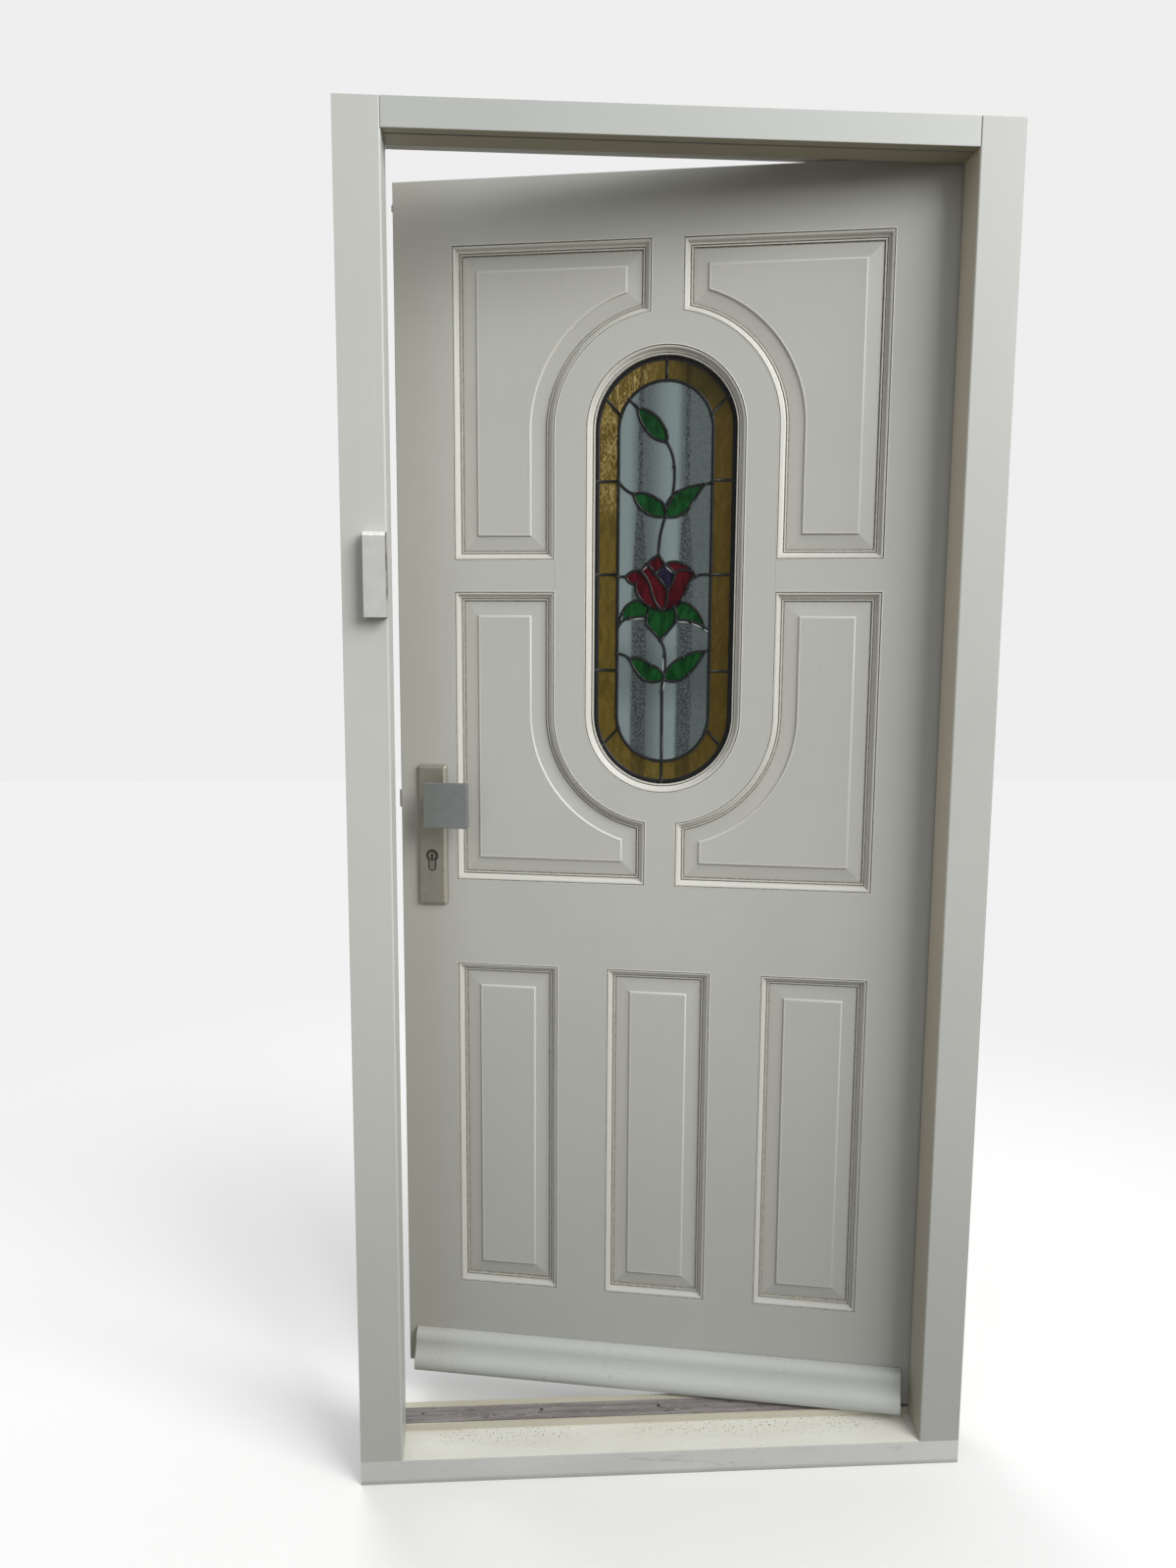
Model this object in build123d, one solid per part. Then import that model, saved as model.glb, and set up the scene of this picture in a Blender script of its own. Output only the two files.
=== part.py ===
from build123d import *
import math
import os

# Panelled front door of the Dutch kind, hung in its timber frame, with a leaded light.
# X runs to the right as seen from outside, Y runs inwards and Z upwards, in millimetres.
# The origin is the middle of the frame in X and Y, on the underside of the sill.
# The leaf is drawn shut and then turned about its hinge pins by AJAR_ANGLE.

# Leaf: driving dimensions
LEAF_WIDTH = 880.0
LEAF_HEIGHT = 2015.0
LEAF_THICKNESS = 54.0
AJAR_ANGLE = 11.1          # how far the leaf stands open at rest
LEAF_GAP = 3.0             # round the leaf, at its sides and top
FLOOR_GAP = 2.0            # between the leaf and the threshold strip
STILE_WIDTH = 96.0
LIPPING = 5.0              # glued strip along the latch edge
TOP_RAIL = 99.0
LOCK_RAIL = 146.0
LOCK_RAIL_BOTTOM = 745.0   # above the leaf's bottom edge
BOTTOM_RAIL = 160.0
CROSS_RAIL = 51.0
CROSS_RAIL_CENTRE = 1400.0
MUNTIN_WIDTH = 50.0        # above and below the light
LOW_MUNTIN_WIDTH = 84.5    # between the three low panels
EDGE_ROUND = 1.5

# Oval light in the middle of the leaf
LIGHT_CENTRE = 1402.5      # above the leaf's bottom edge
LIGHT_STRAIGHT = 456.0     # between the centres of its two round ends
LIGHT_RADIUS = 113.0       # sight edge
RING_WIDTH = 51.0          # face of the timber ring round the light

# Mouldings and panels
MOULD_WIDTH = 14.0
MOULD_DEPTH = 11.0
MOULD_STEP = 1.5
INNER_CHAMFER = 9.5
GROOVE_DEPTH = 10.0
GROOVE_WIDTH = 14.0
PANEL_PLAY = 0.5           # side play of a panel in its groove
FIELD_MARGIN = 39.0        # moulding's outer edge to the raised field
FIELD_STEP = 2.5
FIELD_RECESS = 3.5         # raised field below the leaf's face
BEVEL_RISE = 5.0
TENON_LENGTH = 24.0
TENON_PLAY = 0.5

# Glazing
GLASS_RECESS = 15.0        # leaded glass behind the leaf's outer face
CAME_WIDTH = 4.4
LEAST_BOW = 1.5            # a came that bows less is drawn straight
CAME_THICKNESS = 6.0
GLASS_THICKNESS = 3.0
GLASS_REBATE = 8.0         # how far the glass reaches under the sight edge
SPACER_WIDTH = 7.0
SPACER_THICKNESS = 10.0
PANE_THICKNESS = 4.0
GLASS_PLAY = 0.5
BORDER_WIDTH = 37.5        # sight edge to the inner came

# Weatherboard
BOARD_HEIGHT = 61.0
BOARD_DEPTH = 38.0
BOARD_LIFT = 5.0           # above the leaf's bottom edge
BOARD_CLEARANCE = 5.0      # nose to the jamb at each end
BOARD_SPLAY = 3.0

# Frame
FRAME_DEPTH = 114.0
JAMB_WIDTH = 67.0
HEAD_FACE = 42.0
SILL_HEIGHT = 40.0
SILL_RISE = 10.0           # slope of the sill
SILL_STEP = 10.0           # upstand behind the slope
REBATE_WIDTH = 17.0
REBATE_DEPTH = 57.0
FRAME_ARRIS = 3.0
DRIP_SETBACK = 15.0
DRIP_GROOVE = 5.0
JAMB_TENON = 30.0
STRIP_WIDTH = 38.0
STRIP_THICKNESS = 2.0
STRIP_SETBACK = 5.0
STRIP_PLAY = 0.5
STRIP_SCREW_PITCH = 200.0  # nearest even spacing to this
STRIP_SCREW_EDGE = 43.0    # end screws to the rebate
STRIP_SCREW_HEAD = 7.0
STRIP_SCREW_LENGTH = 22.0
SEAL_WIDTH = 9.0
SEAL_CLEARANCE = 0.4

# Timber block screwed to the latch jamb
BLOCK_WIDTH = 33.0
BLOCK_HEIGHT = 122.0
BLOCK_DEPTH = 22.0
BLOCK_BOTTOM = 1390.0
BLOCK_CHAMFER = 6.0

# Butt hinges
HINGE_HEIGHT = 89.0
HINGE_PLATE = 2.5
HINGE_PLATE_DEPTH = 32.0
BARREL_RADIUS = 7.0
PIN_RADIUS = 3.5
PIN_PLAY = 0.05
PIN_SETBACK = 8.0          # pin axis in front of the leaf's inner face
KNUCKLE_PLAY = 0.4
HINGE_HEIGHTS = (210.0, 1020.0, 1830.0)   # middle of each hinge above the leaf's bottom
HINGE_SCREW_HEAD = 8.0
HINGE_SCREW_LENGTH = 28.0

# Mortise lock
BACKSET = 55.0
SPINDLE_HEIGHT = 1024.5    # above the leaf's bottom edge
LOCK_CENTRES = 92.0        # spindle to cylinder
CASE_DEPTH = 84.0
CASE_HEIGHT = 168.0
CASE_TOP = 42.0            # above the spindle
CASE_THICKNESS = 16.0
CASE_WALL = 1.5
CASE_PLAY = 0.5
FACE_WIDTH = 22.0
FACE_HEIGHT = 235.0
FACE_THICKNESS = 3.0
LATCH_HEIGHT = 30.0
LATCH_THICKNESS = 12.0
LATCH_THROW = 12.0
LATCH_BEVEL = 9.0
BOLT_HEIGHT = 32.0
BOLT_THICKNESS = 11.6
BOLT_THROW = 20.0
BOLT_CLEARANCE = 0.3
SPINDLE_SIZE = 8.0
FOLLOWER_RADIUS = 10.0
FOLLOWER_ARM = 21.0
LEVER_TURN = 40.0
STRIKE_WIDTH = 24.0
STRIKE_THICKNESS = 2.5
STRIKE_MARGIN = 38.0
POCKET_DEPTH = 24.0
POCKET_PLAY = 1.5

# Profile cylinder
PROFILE_RADIUS = 8.5
PROFILE_HEIGHT = 33.0
PROFILE_NECK = 10.0
PLUG_RADIUS = 6.4
PLUG_PLAY = 0.06
KEYWAY_WIDTH = 2.2
KEYWAY_DEPTH = 24.0
CAM_WIDTH = 10.0
CAM_REACH = 15.2
CAM_CLEARANCE = 0.4
PROFILE_PROUD = 1.0

# Door furniture
PLATE_WIDTH = 50.0
PLATE_HEIGHT = 239.0
PLATE_TOP = 62.0           # above the spindle
PLATE_THICKNESS = 9.0
PLATE_BEVEL = 5.0
KNOB_SIZE = 75.0
KNOB_THICKNESS = 9.0
KNOB_OFFSET = 35.0
KNOB_PROJECTION = 52.0
NECK_RADIUS = 14.0
LEVER_LENGTH = 122.0
LEVER_PROJECTION = 54.0
LEVER_RADIUS = 9.5
PLATE_SCREW_RADIUS = 2.5
PLATE_SCREW_EDGE = 12.0
PLATE_SCREW_HEAD = 4.5

# Small steel lug on the latch edge near the top
LUG_DROP = 30.0            # below the leaf's top edge
LUG_SIZE = 12.0
LUG_REACH = 9.0

# Worked out from the above
STOP_PLANE = FRAME_DEPTH / 2 - REBATE_DEPTH
FRAME_BACK = FRAME_DEPTH / 2
FRAME_FRONT = -FRAME_DEPTH / 2
FACE_Y = FRAME_BACK - LEAF_THICKNESS
MID_Y = FRAME_BACK - LEAF_THICKNESS / 2
HALF_LEAF = LEAF_WIDTH / 2
REBATE_X = HALF_LEAF + LEAF_GAP
OPENING_X = REBATE_X - REBATE_WIDTH
FRAME_X = OPENING_X + JAMB_WIDTH
SEAT_Z = SILL_HEIGHT + SILL_RISE + SILL_STEP
LEAF_Z = SEAT_Z + FLOOR_GAP
LEAF_TOP = LEAF_Z + LEAF_HEIGHT
REBATE_TOP = LEAF_TOP + LEAF_GAP
OPENING_TOP = REBATE_TOP - REBATE_WIDTH
FRAME_TOP = OPENING_TOP + HEAD_FACE
PIN_X = HALF_LEAF + LEAF_GAP / 2
PIN_Y = FRAME_BACK + PIN_SETBACK
LIGHT_Z = LEAF_Z + LIGHT_CENTRE
UPPER_Z = LIGHT_Z + LIGHT_STRAIGHT / 2
LOWER_Z = LIGHT_Z - LIGHT_STRAIGHT / 2
LIGHT_MOULD_RADIUS = LIGHT_RADIUS + MOULD_WIDTH
RING_RADIUS = LIGHT_MOULD_RADIUS + RING_WIDTH
PANEL_X = HALF_LEAF - STILE_WIDTH
HALF_MUNTIN = MUNTIN_WIDTH / 2
TOP_EDGE = LEAF_TOP - TOP_RAIL
CROSS_Z = LEAF_Z + CROSS_RAIL_CENTRE
LOCK_TOP = LEAF_Z + LOCK_RAIL_BOTTOM + LOCK_RAIL
LOCK_LOW = LEAF_Z + LOCK_RAIL_BOTTOM
BOTTOM_EDGE = LEAF_Z + BOTTOM_RAIL
SPINDLE_X = -HALF_LEAF + BACKSET
SPINDLE_Z = LEAF_Z + SPINDLE_HEIGHT
CYLINDER_Z = SPINDLE_Z - LOCK_CENTRES
BOLT_Z = CYLINDER_Z + CAM_REACH + CAM_CLEARANCE + BOLT_HEIGHT / 2 + 2.0
CASE_Z0 = SPINDLE_Z + CASE_TOP - CASE_HEIGHT
PLATE_Z = SPINDLE_Z + PLATE_TOP - PLATE_HEIGHT / 2
PANEL_EDGE = LEAF_THICKNESS - 2 * MOULD_DEPTH

FACE = Plane((0, 0, 0), x_dir=(1, 0, 0), z_dir=(0, -1, 0))
HINGE_AXIS = Axis((PIN_X, PIN_Y, 0), (0, 0, 1))


def block(x0, x1, y0, y1, z0, z1):
    """A plain box between the given limits."""
    return Pos((x0 + x1) / 2, (y0 + y1) / 2, (z0 + z1) / 2) * Box(x1 - x0, y1 - y0, z1 - z0)


def face_of(points):
    """A flat face in X and Z through the given corners."""
    return make_face(Polyline(*points, close=True))


def rectangle(x0, x1, z0, z1):
    """A flat face between limits in X and Z."""
    return face_of([(x0, z0), (x1, z0), (x1, z1), (x0, z1)])


def through(face, y0, y1):
    """Extrude a face drawn in X and Z so that it fills y0 to y1."""
    plane = Plane((0, y1, 0), x_dir=(1, 0, 0), z_dir=(0, -1, 0))
    return extrude(plane * face, y1 - y0)


def across(points, x0, x1):
    """Extrude a section drawn in Y and Z along X."""
    plane = Plane((x0, 0, 0), x_dir=(0, 1, 0), z_dir=(1, 0, 0))
    return extrude(plane * make_face(Polyline(*points, close=True)), x1 - x0)


def bar12(x, y, z, radius, length, direction):
    """A twelve-sided bar, for round work that hardly shows."""
    return extrude(Plane((x, y, z), z_dir=direction) * RegularPolygon(radius, 12), length)


def rod(x, y, z, radius, length, direction):
    """A round bar that starts at a point and runs along a direction."""
    return extrude(Plane((x, y, z), z_dir=direction) * Circle(radius), length)


def mirrored(shape):
    """The same shape on the leaf's other face."""
    return mirror(shape, Plane((0, MID_Y, 0), z_dir=(0, 1, 0)))


def ring_point(radius, x, upper):
    """Height where a circle round one end of the light crosses x."""
    rise = math.sqrt(radius ** 2 - x ** 2)
    return UPPER_Z + rise if upper else LOWER_Z - rise


class Panel:
    """One panel opening: its outline on the leaf's face and the sides of its moulding."""

    def __init__(self, corners, side=0, upper=True):
        self.corners = corners     # anticlockwise seen from outside, starting away from the light
        self.side = side           # -1 left of the light, 1 right of it, 0 for a plain oblong
        self.upper = upper

    def wire(self):
        if self.side == 0:
            return Wire(Polyline(*self.corners, close=True).edges())
        edges = [Line(self.corners[i], self.corners[i + 1]) for i in range(len(self.corners) - 1)]
        edges.append(self.arc(RING_RADIUS))
        return Wire(edges)

    def arc(self, radius):
        """The curved side, from the last corner back to the first."""
        centre = UPPER_Z if self.upper else LOWER_Z
        start = self.corners[-1]
        end = self.corners[0]
        middle = math.radians(45)
        rise = radius * math.sin(middle)
        point = (self.side * radius * math.cos(middle), centre + rise if self.upper else centre - rise)
        return ThreePointArc(start, point, end)

    def face(self):
        return make_face(self.wire())

    def plane(self):
        """The moulding's section plane at the first corner."""
        (x0, z0), (x1, z1) = self.corners[0], self.corners[1]
        run = math.hypot(x1 - x0, z1 - z0)
        along = ((x1 - x0) / run, (z1 - z0) / run)
        return Plane((x0, z0, 0), x_dir=(-along[1], along[0], 0), z_dir=(along[0], along[1], 0))


def upper_corners(side):
    """Corners of a panel beside the upper half of the light."""
    notch = ring_point(RING_RADIUS, HALF_MUNTIN, True)
    low = CROSS_Z + CROSS_RAIL / 2
    points = [(-HALF_MUNTIN, notch), (-HALF_MUNTIN, TOP_EDGE), (-PANEL_X, TOP_EDGE), (-PANEL_X, low),
              (-RING_RADIUS, low), (-RING_RADIUS, UPPER_Z)]
    if side < 0:
        return points
    return [(-x, z) for x, z in reversed(points)]


def lower_corners(side):
    """Corners of a panel beside the lower half of the light."""
    notch = ring_point(RING_RADIUS, HALF_MUNTIN, False)
    high = CROSS_Z - CROSS_RAIL / 2
    points = [(-RING_RADIUS, LOWER_Z), (-RING_RADIUS, high), (-PANEL_X, high), (-PANEL_X, LOCK_TOP),
              (-HALF_MUNTIN, LOCK_TOP), (-HALF_MUNTIN, notch)]
    if side < 0:
        return points
    return [(-x, z) for x, z in reversed(points)]


def corners_beside_light(side, upper):
    return upper_corners(side) if upper else lower_corners(side)


def oblong(x0, x1, z0, z1):
    return [(x1, z0), (x1, z1), (x0, z1), (x0, z0)]


def low_panel_width():
    return (2 * PANEL_X - 2 * LOW_MUNTIN_WIDTH) / 3


def low_panel_left(index):
    """Left edge of one of the three low panels."""
    return -PANEL_X + index * (low_panel_width() + LOW_MUNTIN_WIDTH)


def all_panels():
    panels = {
        "panel_upper_left": Panel(upper_corners(-1), -1, True),
        "panel_upper_right": Panel(upper_corners(1), 1, True),
        "panel_middle_left": Panel(lower_corners(-1), -1, False),
        "panel_middle_right": Panel(lower_corners(1), 1, False),
    }
    for index, word in enumerate(("left", "middle", "right")):
        x0 = low_panel_left(index)
        panels["panel_low_" + word] = Panel(oblong(x0, x0 + low_panel_width(), BOTTOM_EDGE, LOCK_LOW))
    return panels


def ogee_section():
    """Moulding cut out of the outer face: a step, an ogee in three flats and a flat bed."""
    w = MOULD_WIDTH
    d = MOULD_DEPTH
    return make_face(Polyline((0, 1), (0, -MOULD_STEP), (0.29 * w, -0.24 * d), (0.47 * w, -0.68 * d),
                              (0.66 * w, -0.88 * d), (w, -d), (w, 1), close=True))


def chamfer_section():
    """Plainer moulding for the room side: a step, a slope and a flat bed."""
    return make_face(Polyline((0, 1), (0, -MOULD_STEP), (INNER_CHAMFER, -MOULD_DEPTH + 1.5),
                              (MOULD_WIDTH, -MOULD_DEPTH), (MOULD_WIDTH, 1), close=True))


def bevel_section():
    """Section cut off a panel blank to leave its bevel and raised field."""
    start = MOULD_WIDTH - 4.0
    slope = (MOULD_DEPTH - FIELD_RECESS - FIELD_STEP) / (FIELD_MARGIN - MOULD_WIDTH)
    low = -MOULD_DEPTH - slope * (MOULD_WIDTH - start)
    return make_face(Polyline((start, 1), (start, low), (FIELD_MARGIN, -FIELD_RECESS - FIELD_STEP),
                              (FIELD_MARGIN + 1.2, -FIELD_RECESS), (FIELD_MARGIN + 1.2, 1), close=True))


def flipped(shape):
    """The same shape on the other side of the leaf's middle line."""
    return mirror(shape, Plane.YZ)


def run_round(section, panel):
    """Sweep a section round a panel's outline on the leaf's outer face."""
    if panel.side > 0:
        return flipped(run_round(section, Panel(corners_beside_light(-1, panel.upper), -1, panel.upper)))
    swept = sweep(panel.plane() * section, path=panel.wire(), transition=Transition.RIGHT)
    return Plane((0, FACE_Y, 0), x_dir=(1, 0, 0), z_dir=(0, -1, 0)) * swept


def inner_face(panel, distance):
    return offset(panel.face(), -distance, kind=Kind.INTERSECTION)


def light_face(radius):
    """The oval of the light at a given radius."""
    oval = rectangle(-radius, radius, LOWER_Z, UPPER_Z)
    oval += Pos(0, UPPER_Z) * Circle(radius)
    return oval + Pos(0, LOWER_Z) * Circle(radius)


def light_wire(radius):
    right = Line((radius, LOWER_Z), (radius, UPPER_Z))
    top = ThreePointArc((radius, UPPER_Z), (0, UPPER_Z + radius), (-radius, UPPER_Z))
    left = Line((-radius, UPPER_Z), (-radius, LOWER_Z))
    bottom = ThreePointArc((-radius, LOWER_Z), (0, LOWER_Z - radius), (radius, LOWER_Z))
    return Wire([right, top, left, bottom])


def run_round_light(section):
    """Sweep a section round the light on the leaf's outer face."""
    plane = Plane((LIGHT_MOULD_RADIUS, LOWER_Z, 0), x_dir=(-1, 0, 0), z_dir=(0, 1, 0))
    swept = sweep(plane * section, path=light_wire(LIGHT_MOULD_RADIUS), transition=Transition.RIGHT)
    return Plane((0, FACE_Y, 0), x_dir=(1, 0, 0), z_dir=(0, -1, 0)) * swept


class Carcase:
    """The leaf's stiles, rails, muntins and ring before they are cut to members."""

    def __init__(self, panels):
        self.panels = panels
        self.ogees = {name: run_round(ogee_section(), p) for name, p in panels.items()}
        self.chamfers = {name: mirrored(run_round(chamfer_section(), p)) for name, p in panels.items()}
        half = GROOVE_WIDTH / 2
        self.grooves = {name: through(inner_face(p, MOULD_WIDTH - GROOVE_DEPTH), MID_Y - half, MID_Y + half)
                        for name, p in panels.items()}

    def strip(self, name, side):
        """The mitred strip of moulding along one straight side of a panel."""
        panel = self.panels[name]
        points = panel.corners
        a = points[side]
        b = points[(side + 1) % len(points)]
        return face_of([a, b, self.inner_corner(panel, (side + 1) % len(points)),
                        self.inner_corner(panel, side)])

    def inner_corner(self, panel, index):
        """Where the moulding's inner edge turns, beside one corner of the outline."""
        x, z = panel.corners[index]
        m = MOULD_WIDTH
        on_ring = panel.side != 0 and index in (0, len(panel.corners) - 1)
        if on_ring:
            if abs(abs(x) - HALF_MUNTIN) < 1e-6:
                inner_x = math.copysign(HALF_MUNTIN + m, x)
                return (inner_x, ring_point(RING_RADIUS + m, inner_x, panel.upper))
            return (math.copysign(RING_RADIUS + m, x), z)
        xs = [p[0] for p in panel.corners]
        zs = [p[1] for p in panel.corners]
        if panel.side == 0:
            return (x + m if x == min(xs) else x - m, z + m if z == min(zs) else z - m)
        outer = abs(x) > RING_RADIUS + 1e-6
        inner_x = math.copysign(abs(x) - m if outer else abs(x) + m, x)
        inner_z = z + m if z == min(zs) else z - m
        return (inner_x, inner_z)

    def member(self, region, names, tenons=(), mortises=()):
        """A member from its outline in the face, with mouldings and grooves cut."""
        solid = through(region, FACE_Y, FRAME_BACK)
        for name in names:
            solid -= self.ogees[name]
            solid -= self.chamfers[name]
            solid -= self.grooves[name]
        for tenon in tenons:
            solid += tenon_block(*tenon, 0.0)
        for mortise in mortises:
            solid -= tenon_block(*mortise, TENON_PLAY)
        return solid


def tenon_block(x0, x1, z0, z1, axis, grow):
    """A tenon, or with grow its mortise, which is deeper only at its end."""
    half = GROOVE_WIDTH / 2
    if axis == "left":
        x0 -= grow
    if axis == "right":
        x1 += grow
    if axis == "up":
        z1 += grow
    if axis == "down":
        z0 -= grow
    return block(x0, x1, MID_Y - half, MID_Y + half, z0, z1)


def side_tenons(x_in, z0, z1, shoulder):
    """Left and right tenons of a rail whose shoulders lie at plus and minus x_in."""
    left = (-x_in - TENON_LENGTH, -x_in, z0 + shoulder, z1 - shoulder, "left")
    right = (x_in, x_in + TENON_LENGTH, z0 + shoulder, z1 - shoulder, "right")
    return left, right


def stile_region(carcase, side):
    names = side_names(side)
    x_out = side * HALF_LEAF
    if side < 0:
        x_out += LIPPING
    x_in = side * PANEL_X
    region = rectangle(min(x_out, x_in), max(x_out, x_in), LEAF_Z, LEAF_TOP)
    for name in names:
        region += stile_strip(carcase, name, side)
    return region, names


def side_names(side):
    word = "left" if side < 0 else "right"
    return ["panel_upper_" + word, "panel_middle_" + word, "panel_low_" + word]


def stile_strip(carcase, name, side):
    """The strip along the side of a panel that lies against the stile."""
    corners = carcase.panels[name].corners
    for i, (x, z) in enumerate(corners):
        nx, nz = corners[(i + 1) % len(corners)]
        if abs(x - side * PANEL_X) < 1e-6 and abs(nx - side * PANEL_X) < 1e-6:
            return carcase.strip(name, i)
    raise ValueError(name)


def level_strip(carcase, name, level):
    """The strip along the level side of a panel at a height."""
    corners = carcase.panels[name].corners
    for i, (x, z) in enumerate(corners):
        nx, nz = corners[(i + 1) % len(corners)]
        if abs(z - level) < 1e-6 and abs(nz - level) < 1e-6:
            return carcase.strip(name, i)
    raise ValueError(name)


def upright_strip(carcase, name, x_side):
    """The strip along the upright side of a panel at a place in X."""
    corners = carcase.panels[name].corners
    for i, (x, z) in enumerate(corners):
        nx, nz = corners[(i + 1) % len(corners)]
        if abs(x - x_side) < 1e-6 and abs(nx - x_side) < 1e-6:
            return carcase.strip(name, i)
    raise ValueError(name)


def rail_tenons():
    """Tenons of the three full rails, by name."""
    return {
        "top_rail": side_tenons(PANEL_X, TOP_EDGE, LEAF_TOP, 20.0),
        "lock_rail": side_tenons(PANEL_X, LOCK_LOW, LOCK_TOP, 30.0),
        "bottom_rail": side_tenons(PANEL_X, LEAF_Z, BOTTOM_EDGE, 30.0),
    }


def low_muntin_x(index):
    """Left and right edges of a low muntin."""
    x0 = low_panel_left(index) + low_panel_width()
    return x0, x0 + LOW_MUNTIN_WIDTH


def muntin_tenons():
    """Tenons of the upright muntins and the short cross rails, by name."""
    tenons = {}
    high = ring_point(RING_RADIUS, HALF_MUNTIN, True)
    low = ring_point(RING_RADIUS, HALF_MUNTIN, False)
    inset = 6.0
    tenons["muntin_top"] = (
        (-HALF_MUNTIN + inset, HALF_MUNTIN - inset, TOP_EDGE, TOP_EDGE + TENON_LENGTH, "up"),)
    tenons["muntin_below_light"] = (
        (-HALF_MUNTIN + inset, HALF_MUNTIN - inset, LOCK_TOP - TENON_LENGTH, LOCK_TOP, "down"),)
    for index, word in enumerate(("left", "right")):
        x0, x1 = low_muntin_x(index)
        tenons["muntin_low_" + word] = (
            (x0 + 15, x1 - 15, LOCK_LOW, LOCK_LOW + TENON_LENGTH, "up"),
            (x0 + 15, x1 - 15, BOTTOM_EDGE - TENON_LENGTH, BOTTOM_EDGE, "down"))
    z0 = CROSS_Z - CROSS_RAIL / 2 + inset
    z1 = CROSS_Z + CROSS_RAIL / 2 - inset
    tenons["cross_rail_left"] = ((-PANEL_X - TENON_LENGTH, -PANEL_X, z0, z1, "left"),)
    tenons["cross_rail_right"] = ((PANEL_X, PANEL_X + TENON_LENGTH, z0, z1, "right"),)
    return tenons


def leaf_members(carcase):
    rails = rail_tenons()
    short = muntin_tenons()
    parts = {}
    for side, word in ((-1, "latch_stile"), (1, "hinge_stile")):
        region, names = stile_region(carcase, side)
        pick = 0 if side < 0 else 1
        mortises = [pair[pick] for pair in rails.values()]
        mortises += short["cross_rail_left" if side < 0 else "cross_rail_right"]
        parts[word] = carcase.member(region, names, (), mortises)
    uppers = ["panel_upper_left", "panel_upper_right"]
    middles = ["panel_middle_left", "panel_middle_right"]
    lows = ["panel_low_left", "panel_low_middle", "panel_low_right"]
    region = rectangle(-PANEL_X, PANEL_X, TOP_EDGE, LEAF_TOP)
    for name in uppers:
        region += level_strip(carcase, name, TOP_EDGE)
    parts["top_rail"] = carcase.member(region, uppers, rails["top_rail"], short["muntin_top"])
    region = rectangle(-PANEL_X, PANEL_X, LOCK_LOW, LOCK_TOP)
    for name in middles:
        region += level_strip(carcase, name, LOCK_TOP)
    for name in lows:
        region += level_strip(carcase, name, LOCK_LOW)
    mortises = [*short["muntin_below_light"], short["muntin_low_left"][0], short["muntin_low_right"][0]]
    parts["lock_rail"] = carcase.member(region, middles + lows, rails["lock_rail"], mortises)
    region = rectangle(-PANEL_X, PANEL_X, LEAF_Z, BOTTOM_EDGE)
    for name in lows:
        region += level_strip(carcase, name, BOTTOM_EDGE)
    mortises = [short["muntin_low_left"][1], short["muntin_low_right"][1]]
    parts["bottom_rail"] = carcase.member(region, lows, rails["bottom_rail"], mortises)
    for index, word in enumerate(("left", "right")):
        x0, x1 = low_muntin_x(index)
        region = rectangle(x0, x1, BOTTOM_EDGE, LOCK_LOW)
        region += upright_strip(carcase, lows[index], x0)
        region += upright_strip(carcase, lows[index + 1], x1)
        name = "muntin_low_" + word
        parts[name] = carcase.member(region, lows[index:index + 2], short[name])
    parts.update(light_members(carcase, short, uppers, middles))
    return parts


def light_members(carcase, short, uppers, middles):
    """Ring round the light, the muntins above and below it and the short cross rails."""
    parts = {}
    disc = light_face(RING_RADIUS)
    tongue = 8.0
    for upper, names, word in ((True, uppers, "muntin_top"), (False, middles, "muntin_below_light")):
        level = TOP_EDGE if upper else LOCK_TOP
        middle = UPPER_Z if upper else LOWER_Z
        region = rectangle(-HALF_MUNTIN, HALF_MUNTIN, min(level, middle), max(level, middle)) - disc
        for name, side in zip(names, (-1, 1)):
            region += upright_strip(carcase, name, side * HALF_MUNTIN)
        parts[word] = carcase.member(region, names, short[word])
    for side, word in ((-1, "left"), (1, "right")):
        names = ["panel_upper_" + word, "panel_middle_" + word]
        x0, x1 = sorted((side * RING_RADIUS, side * PANEL_X))
        region = rectangle(x0, x1, CROSS_Z - CROSS_RAIL / 2, CROSS_Z + CROSS_RAIL / 2)
        region += level_strip(carcase, names[0], CROSS_Z + CROSS_RAIL / 2)
        region += level_strip(carcase, names[1], CROSS_Z - CROSS_RAIL / 2)
        parts["cross_rail_" + word] = carcase.member(region, names, short["cross_rail_" + word])
    region = disc
    for name in uppers + middles:
        panel = carcase.panels[name]
        band = panel.face() - inner_face(panel, MOULD_WIDTH)
        for side in range(len(panel.corners) - 1):
            xs = {round(abs(panel.corners[side][0]), 6), round(abs(panel.corners[side + 1][0]), 6)}
            if xs != {round(RING_RADIUS, 6)}:
                band -= carcase.strip(name, side)
        region += band
    region -= light_face(LIGHT_RADIUS)
    ring = carcase.member(region, uppers + middles)
    ring -= run_round_light(ogee_section())
    rebate = light_face(LIGHT_RADIUS + GLASS_REBATE + GLASS_PLAY)
    ring -= through(rebate, FACE_Y + GLASS_RECESS, FRAME_BACK + 1)
    parts["light_ring"] = ring
    return parts


def panel_solid(panel):
    """A raised and fielded panel with a tongue all round."""
    wall = MOULD_WIDTH + 0.2
    body = through(inner_face(panel, wall), FACE_Y + FIELD_RECESS, FRAME_BACK - FIELD_RECESS)
    bevel = run_round(bevel_section(), panel)
    body -= bevel
    body -= mirrored(bevel)
    half = GROOVE_WIDTH / 2 - 0.1
    tongue = through(inner_face(panel, MOULD_WIDTH - GROOVE_DEPTH + PANEL_PLAY), MID_Y - half, MID_Y + half)
    return body + tongue


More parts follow.
